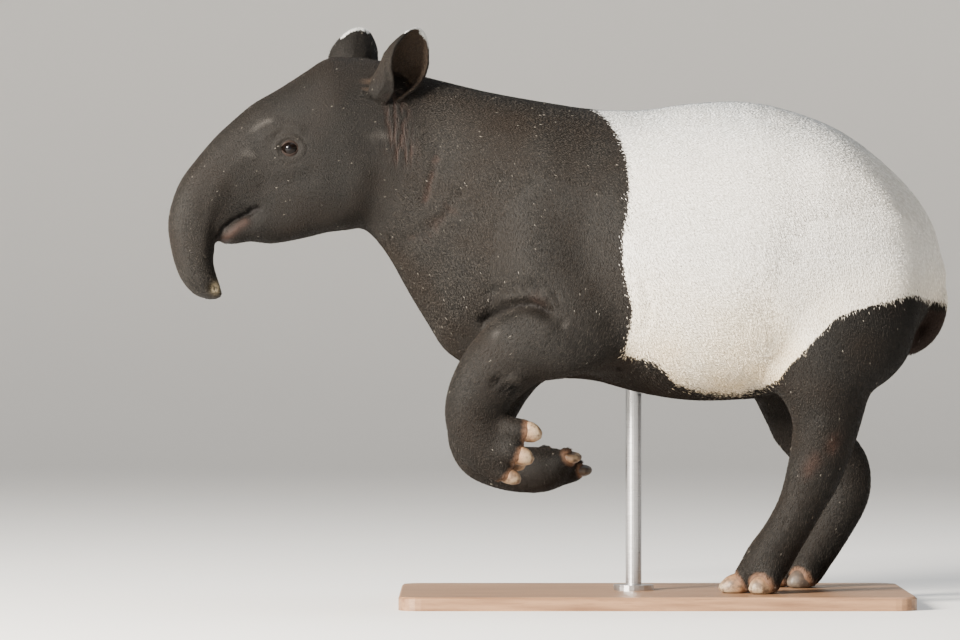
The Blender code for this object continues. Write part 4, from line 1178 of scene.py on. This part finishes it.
def eye_finish(settings):
    """A wet black eye with a dark streaked iris."""
    made, tree, shader = material("eye_wet", Roughness=0.05, Specular_IOR_Level=0.16)
    angle = attribute(tree, "angle")
    rays = noise(tree, 260.0, 5.0)
    iris = mixed(tree, ranged(tree, rays, 0.3, 0.7), settings.iris, settings.iris_pale)
    shade = mixed(tree, ranged(tree, angle, *PUPIL_EDGE), iris, PUPIL)
    shade = mixed(tree, ranged(tree, angle, *IRIS_EDGE), shade, settings.eye_white)
    tree.links.new(shade, shader.inputs["Base Color"])
    return made


def wood_finish(settings):
    """Oiled wood with its grain along the base."""
    made, tree, shader = material("oiled_wood", Roughness=0.42)
    grain = stretched(tree, GRAIN_SCALE)
    rings = noise(tree, 2.4, 6.0, grain)
    pores = noise(tree, 16.0, 3.0, grain)
    shade = mixed(tree, ranged(tree, rings, 0.3, 0.7), settings.wood, settings.wood_dark)
    shade = mixed(tree, ranged(tree, pores, 0.56, 0.72, 0, 0.6), shade, settings.wood_dark)
    tree.links.new(shade, shader.inputs["Base Color"])
    bump(tree, shader, pores, 0.25, 0.0008)
    return made


def steel_finish():
    """Steel that is brushed round the rod."""
    made, tree, shader = material("brushed_steel", Metallic=1.0, Roughness=0.3)
    brushed = noise(tree, 1.0, 3.0, stretched(tree, BRUSHED_SCALE))
    tree.links.new(mixed(tree, brushed, *STEEL), shader.inputs["Base Color"])
    tree.links.new(ranged(tree, brushed, 0.2, 0.8, 0.24, 0.4), shader.inputs["Roughness"])
    return made


def floor_finish(settings):
    """A pale, faintly clouded floor that glows a little by itself."""
    made, tree, shader = material("pale_floor", Roughness=0.85, Emission_Strength=settings.glow)
    feed(tree, shader.inputs["Emission Color"], STAGE_GLOW_COLOUR)
    clouds = ranged(tree, noise(tree, 0.7, 3.0), 0.3, 0.7, 0.0, 0.3)
    clouded = [value * STAGE_CLOUD for value in settings.floor]
    tree.links.new(mixed(tree, clouds, settings.floor, clouded), shader.inputs["Base Color"])
    return made


def finish_piece(obj, slot, finish, *replaced):
    """Smooths a piece's shading, gives it its finish and tells the frame about it."""
    obj.data.materials.clear()
    obj.data.materials.append(finish)
    obj.data.polygons.foreach_set("use_smooth", np.ones(len(obj.data.polygons), bool))
    obj.data.update()
    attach(obj, "root")
    if replaced:
        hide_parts(*replaced)


def size(name, text, default, unit="LENGTH", precision=4):
    """A setting that is a length or an angle."""
    return FloatProperty(name=name, description=text, default=default, unit=unit,
                         precision=precision)


def number(name, text, default):
    """A setting that is a plain number."""
    return FloatProperty(name=name, description=text, default=default)


def whole(name, text, default):
    """A setting that is a whole number."""
    return IntProperty(name=name, description=text, default=default)


def tint(name, text, default):
    """A setting that is a colour."""
    return FloatVectorProperty(name=name, description=text, default=default, subtype="COLOR",
                               min=0.0, max=1.0)


class TapirSkinSettings(bpy.types.PropertyGroup):
    voxel: size("Fusing grid", "Width of the grid that fuses the flesh into one skin", 0.0036)
    smoothing: whole("Smoothing", "How often the fused skin is relaxed", 110)
    triangles: whole("Triangles", "How many triangles the skin is thinned to", 140000)
    detail: number("Detail", "How far the face and toes keep their triangles", 0.6)
    depth: size("Coat depth", "How far the skin lies inside the flesh on the trunk", 0.0024)
    depth_fine: size("Coat depth, face", "How far it lies inside on the face and the feet", 0.0013)
    socket: size("Eye's surround", "Reach of the smooth skin round an eye", 0.034)
    eye_length: size("Eye opening's length", "Length of the opening between the lids", 0.034)
    eye_height: size("Eye opening's height", "Height of the opening between the lids", 0.026)
    lid_gap: size("Lid gap", "Gap between the lids' edge and the eye", 0.0004)
    lid_steps: whole("Lid steps", "Steps round each eye's lids", 48)
    ear_voxel: size("Ear grid", "Width of the grid that rounds the ears", 0.0018)
    ear_smoothing: whole("Ear smoothing", "How often the ears are relaxed", 14)
    ear_triangles: whole("Ear triangles", "How many triangles each ear is thinned to", 25000)
    ear_root_height: size("Ear root", "Height of the part of an ear that is pushed in", 0.030)
    ear_sink: size("Ear sink", "How far an ear's root is pushed into the head", 0.010)


class TapirCoatSettings(bpy.types.PropertyGroup):
    share: number("Share of tufts", "Part of the tufts that are made", 1.0)
    turn: size("Turn", "How far a tuft may turn from the coat's lie", math.radians(15), "ROTATION")
    lift: number("Lift", "Height of a tuft's tip as a part of its length", 0.20)
    mingling: size("Mingling", "How far black and white hairs mingle at the saddle's edge", 0.006)
    flecks: number("Flecks", "Part of the tufts that are pale flecks", 0.0025)
    black: tint("Black", "Darkest colour of the black coat", (0.0060, 0.0053, 0.0048))
    black_pale: tint("Black, pale hairs", "Palest colour of the black coat", (0.048, 0.042, 0.036))
    brown: tint("Brown", "Colour of the brown patches in the black coat", (0.018, 0.0125, 0.0088))
    brown_pale: tint("Brown, pale", "Palest hairs inside the ears", (0.070, 0.048, 0.034))
    crust: tint("Crust", "Colour of the rim of the nostrils", (0.30, 0.25, 0.16))
    fleck: tint("Fleck", "Colour of the pale flecks", (0.24, 0.22, 0.19))
    scar: tint("Scar", "Colour of the old scars", (0.10, 0.092, 0.085))
    white: tint("White", "Palest colour of the saddle", (0.90, 0.88, 0.84))
    white_shade: tint("White, shade", "Darkest colour of the saddle", (0.55, 0.525, 0.48))
    # The cream is cream hair with painted shade low on the flank; the cool grey along the back is
    # painted shade.
    cream: tint("Cream", "Tint of the saddle low on the flank", (0.93, 0.80, 0.58))
    cool: tint("Cool grey", "Tint of the saddle along the back", (0.72, 0.77, 0.83))
    blush: tint("Blush", "Colour of the bare skin in the creases", (0.040, 0.019, 0.0135))
    bare: tint("Bare skin", "Colour of the lids and lips", (0.040, 0.024, 0.019))
    pad: tint("Toe skin", "Colour of the bare skin round the hooves", (0.105, 0.058, 0.036))
    # The skin under the tufts is darkened as painted shade deep between the hairs.
    under: number("Under the tufts", "How dark the skin is under the black tufts", 0.34)
    under_white: number("Under the white tufts", "How dark the skin is under them", 0.85)


class TapirEyeSettings(bpy.types.PropertyGroup):
    cornea: size("Cornea", "How far the clear front of the eye stands out", 0.0012)
    iris: tint("Iris", "Colour of the iris", (0.0016, 0.0010, 0.0008))
    iris_pale: tint("Iris, pale", "Colour of the iris's streaks", (0.0042, 0.0024, 0.0018))
    eye_white: tint("White of the eye", "Colour of the eye at its edge", (0.0055, 0.0034, 0.0028))


class TapirHoofSettings(bpy.types.PropertyGroup):
    voxel: size("Hoof grid", "Width of the grid that rounds the hooves", 0.0016)
    smoothing: whole("Smoothing", "How often the hooves are relaxed", 36)
    horn: tint("Horn", "Colour of the hooves at the toe", (0.20, 0.105, 0.052))
    horn_pale: tint("Horn, pale", "Colour of the hooves at the tip", (0.30, 0.23, 0.15))
    horn_dark: tint("Horn, dark", "Colour of the dark hooves", (0.035, 0.028, 0.024))
    dirt: tint("Earth", "Colour of the earth on the hooves", (0.075, 0.045, 0.026))


class TapirStageSettings(bpy.types.PropertyGroup):
    wood: tint("Wood", "Colour of the base", (0.30, 0.17, 0.09))
    wood_dark: tint("Wood, grain", "Colour of the base's grain", (0.15, 0.075, 0.038))
    floor: tint("Floor", "Colour of the floor and backdrop", (0.74, 0.73, 0.71))
    key: number("Key light", "Power of the large warm light at the front left, in watts", 4300.0)
    fill: number("Fill light", "Power of the soft cool light from above, in watts", 260.0)
    glow: number("Backdrop glow", "How much the backdrop glows by itself", 0.12)


class TapirSkin(bpy.types.Operator):
    """Makes the skin with its folds, ears, lids, mouth and nostrils"""

    bl_idname = "tapir.skin"
    bl_label = "Skin"

    def execute(self, context):
        settings = context.scene.tapir_skin
        obj = fused_body(settings)
        smooth_sockets(obj.data, settings)
        mesh = obj.data
        points, tree = points_of(mesh), surface(obj)
        for places, width, height in FORMS:
            press(points, normals_of(mesh), tree, places, width, height)
        fine = fineness(points)
        depth = settings.depth_fine + (settings.depth - settings.depth_fine) * fine
        points -= normals_of(mesh) * depth[:, None]
        move_points(mesh, points)
        tree = surface(obj)
        additions = [lid_ring(tree, side, settings) for side in EYE_NODES]
        lower_sockets(mesh, tree, settings)
        additions += [smooth_ear(side, tree, settings) for side in EAR_NODES]
        for other in additions:
            unite(obj, other)
        mark_skin(obj)
        finish_piece(obj, "coat_black", coat_finish("skin", context.scene.tapir_coat, False),
                     *FLESH_NODES, *EAR_NODES.values())
        return {"FINISHED"}


class TapirCoat(bpy.types.Operator):
    """Lays the coat of short tufts over the skin"""

    bl_idname = "tapir.coat"
    bl_label = "Coat"

    def execute(self, context):
        settings = context.scene.tapir_coat
        skin = bpy.data.objects["skin"]
        mesh = skin.data
        regions = kept(mesh, "region").round().astype(int)
        normals = normals_of(mesh)
        lie = read(mesh.attributes["lie"].data, "vector", 3).astype(float)
        marks = {name: kept(mesh, name) for name in MARKS}
        finish = coat_finish("tufts", settings, True)
        tree = surface(skin)
        share = settings.share * 1
        for seed, (name, (nodes, count, length, width)) in enumerate(COAT_PIECES.items()):
            random = np.random.default_rng(seed)
            found = roots_on(mesh, regions, nodes, int(count * share), random)
            roots, corners, weights, flat = found
            across = {key: (values[corners] * weights).sum(1) for key, values in marks.items()}
            furred = across["furless"] < random.uniform(*SHED, len(roots))
            roots, corners, weights, flat = (a[furred] for a in (roots, corners, weights, flat))
            across = {key: values[furred] for key, values in across.items()}
            up = unit((normals[corners] * weights[:, :, None]).sum(1))
            way = (lie[corners] * weights[:, :, None]).sum(1)
            way = unit(way - up * (way * up).sum(1)[:, None])
            turn = random.uniform(-settings.turn, settings.turn, len(roots))
            way = way * np.cos(turn)[:, None] + np.cross(up, way) * np.sin(turn)[:, None]
            lengths = length * random.uniform(*VARIED, len(roots))
            widths = width * random.uniform(*VARIED, len(roots))
            lifts = lengths * settings.lift * random.uniform(*LIFT_VARIED, len(roots))
            lifts = laid_on(tree, roots, way, up, lengths, lifts)
            obj = tuft_mesh(name, roots, way, up, lengths, widths, lifts, flat)
            edge = across.pop("pale_edge") > random.uniform(*PALE_SHED, len(roots))
            inside = saddle_depth(roots) + random.normal(0, settings.mingling, len(roots))
            across["saddle"] = np.where(edge, PALE_DEPTH, inside)
            across["tone"] = random.random(len(roots)) ** 2
            across["tone"][random.random(len(roots)) < settings.flecks] = FLECK_TONE
            for key, values in across.items():
                keep(obj.data, key, np.repeat(values, 4))
            finish_piece(obj, "coat_white" if name in WHITE_PIECES else "coat_black", finish)
        return {"FINISHED"}


class TapirEyes(bpy.types.Operator):
    """Makes the wet eyes between the lids"""

    bl_idname = "tapir.eyes"
    bl_label = "Eyes"

    def execute(self, context):
        settings = context.scene.tapir_eyes
        tree = surface(bpy.data.objects["skin"])
        finish = eye_finish(settings)
        for side, name in EYE_NODES.items():
            middle, forward, _, out, radius = eye_frame(tree, side)
            shape = bmesh.new()
            bmesh.ops.create_uvsphere(shape, u_segments=EYE_SEGMENTS[0],
                                      v_segments=EYE_SEGMENTS[1], radius=radius)
            gaze = (out + forward * GAZE_FORWARD).normalized()
            turn = gaze.to_track_quat("Z", "Y").to_matrix()
            angles = []
            for vert in shape.verts:
                angle = Vector((0, 0, 1)).angle(vert.co)
                angles.append(angle)
                dome = math.exp(-(angle / CORNEA_SPREAD) ** 4)
                vert.co *= 1 + settings.cornea / radius * dome
                vert.co = middle + turn @ vert.co
            obj = object_of("eyeball_" + name.split("_")[1], shape)
            keep(obj.data, "angle", np.array(angles))
            finish_piece(obj, "eye", finish, name)
        return {"FINISHED"}


class TapirHooves(bpy.types.Operator):
    """Makes the rounded, worn hooves"""

    bl_idname = "tapir.hooves"
    bl_label = "Hooves"

    def execute(self, context):
        settings = context.scene.tapir_hooves
        finish = horn_finish(settings)
        for name in HOOF_NODES:
            obj = object_of(name.replace("hoof", "toenail"), hoof_shape(name))
            points = rounded(obj, settings.voxel, settings.smoothing)
            move_points(obj.data, points)
            along = points @ hoof_ways(name)[0]
            keep(obj.data, "along", (along - along.min()) / np.ptp(along))
            dark = DARK_HOOF if name in DARK_HOOVES else 0.0
            keep(obj.data, "dark", np.full(len(points), dark))
            finish_piece(obj, "hoof", finish, name)
        return {"FINISHED"}


class TapirStand(bpy.types.Operator):
    """Finishes the wooden base and the steel rod"""

    bl_idname = "tapir.stand"
    bl_label = "Stand"

    def execute(self, context):
        wood = wood_finish(context.scene.tapir_stage)
        steel = steel_finish()
        for name in STAND_NODES:
            materials = NODES[name].data.materials
            finish = wood if name == "stand_base" else steel
            for index in range(len(materials)):
                materials[index] = finish
            if not materials:
                materials.append(finish)
        return {"FINISHED"}


class TapirStage(bpy.types.Operator):
    """Sets the plain pale stage, its soft lights and the camera"""

    bl_idname = "tapir.stage"
    bl_label = "Stage, lights and camera"

    def execute(self, context):
        settings = context.scene.tapir_stage
        shape = bmesh.new()
        bmesh.ops.create_circle(shape, cap_ends=True, segments=STAGE_SEGMENTS,
                                radius=STAGE_RADIUS)
        outer = [edge for edge in shape.edges if edge.is_boundary]
        for radius, height in STAGE_CURVE:
            made = bmesh.ops.extrude_edge_only(shape, edges=outer)["geom"]
            ring = [item for item in made if isinstance(item, bmesh.types.BMVert)]
            outer = [item for item in made if isinstance(item, bmesh.types.BMEdge)]
            for vert in ring:
                vert.co = Vector((vert.co.x, vert.co.y, 0)).normalized() * radius
                vert.co.z = height
        bmesh.ops.recalc_face_normals(shape, faces=shape.faces)
        floor = object_of("floor", shape)
        floor.data.materials.append(floor_finish(settings))
        floor.data.polygons.foreach_set("use_smooth", np.ones(len(floor.data.polygons), bool))
        for name, (place, width, shine) in LAMPS.items():
            light = bpy.data.lights.new(name, "AREA")
            light.size = width
            light.energy = getattr(settings, name)
            light.color = shine
            obj = bpy.data.objects.new(name, light)
            obj.location = place
            obj.rotation_euler = (LIT_PLACE - Vector(place)).to_track_quat("-Z", "Y").to_euler()
            context.scene.collection.objects.link(obj)
        world = bpy.data.worlds.new("studio")
        world.use_nodes = True
        room = world.node_tree.nodes["Background"].inputs
        room["Color"].default_value = (*ROOM_COLOUR, 1.0)
        room["Strength"].default_value = ROOM_LIGHT
        context.scene.world = world
        camera = bpy.data.cameras.new("camera")
        camera.lens = LENS
        camera.sensor_width = SENSOR
        camera.clip_end = VIEW_DEPTH
        obj = bpy.data.objects.new("camera", camera)
        obj.location = CAMERA
        obj.rotation_euler = (math.radians(90), 0, 0)
        context.scene.collection.objects.link(obj)
        context.scene.camera = obj
        return {"FINISHED"}


OPERATORS = (TapirSkin, TapirCoat, TapirEyes, TapirHooves, TapirStand, TapirStage)
SETTINGS = {
    "tapir_skin": TapirSkinSettings,
    "tapir_coat": TapirCoatSettings,
    "tapir_eyes": TapirEyeSettings,
    "tapir_hooves": TapirHoofSettings,
    "tapir_stage": TapirStageSettings,
}


class TapirPanel(bpy.types.Panel):
    """Lists the pieces of the model and their settings"""

    bl_idname = "VIEW3D_PT_tapir"
    bl_label = "Malayan Tapir"
    bl_space_type = "VIEW_3D"
    bl_region_type = "UI"
    bl_category = "Tapir"

    def draw(self, context):
        layout = self.layout
        for operator in OPERATORS:
            layout.operator(operator.bl_idname)
        for key in SETTINGS:
            box = layout.box()
            group = getattr(context.scene, key)
            for name in group.__annotations__:
                box.prop(group, name)


CLASSES = (*SETTINGS.values(), *OPERATORS, TapirPanel)


def register():
    for item in CLASSES:
        bpy.utils.register_class(item)
    for key, group in SETTINGS.items():
        setattr(bpy.types.Scene, key, PointerProperty(type=group))


def unregister():
    for key in SETTINGS:
        delattr(bpy.types.Scene, key)
    for item in reversed(CLASSES):
        bpy.utils.unregister_class(item)


def main():
    register()
    bpy.ops.tapir.skin()
    bpy.ops.tapir.coat()
    bpy.ops.tapir.eyes()
    bpy.ops.tapir.hooves()
    bpy.ops.tapir.stand()
    bpy.ops.tapir.stage()


if __name__ == "__main__":
    main()
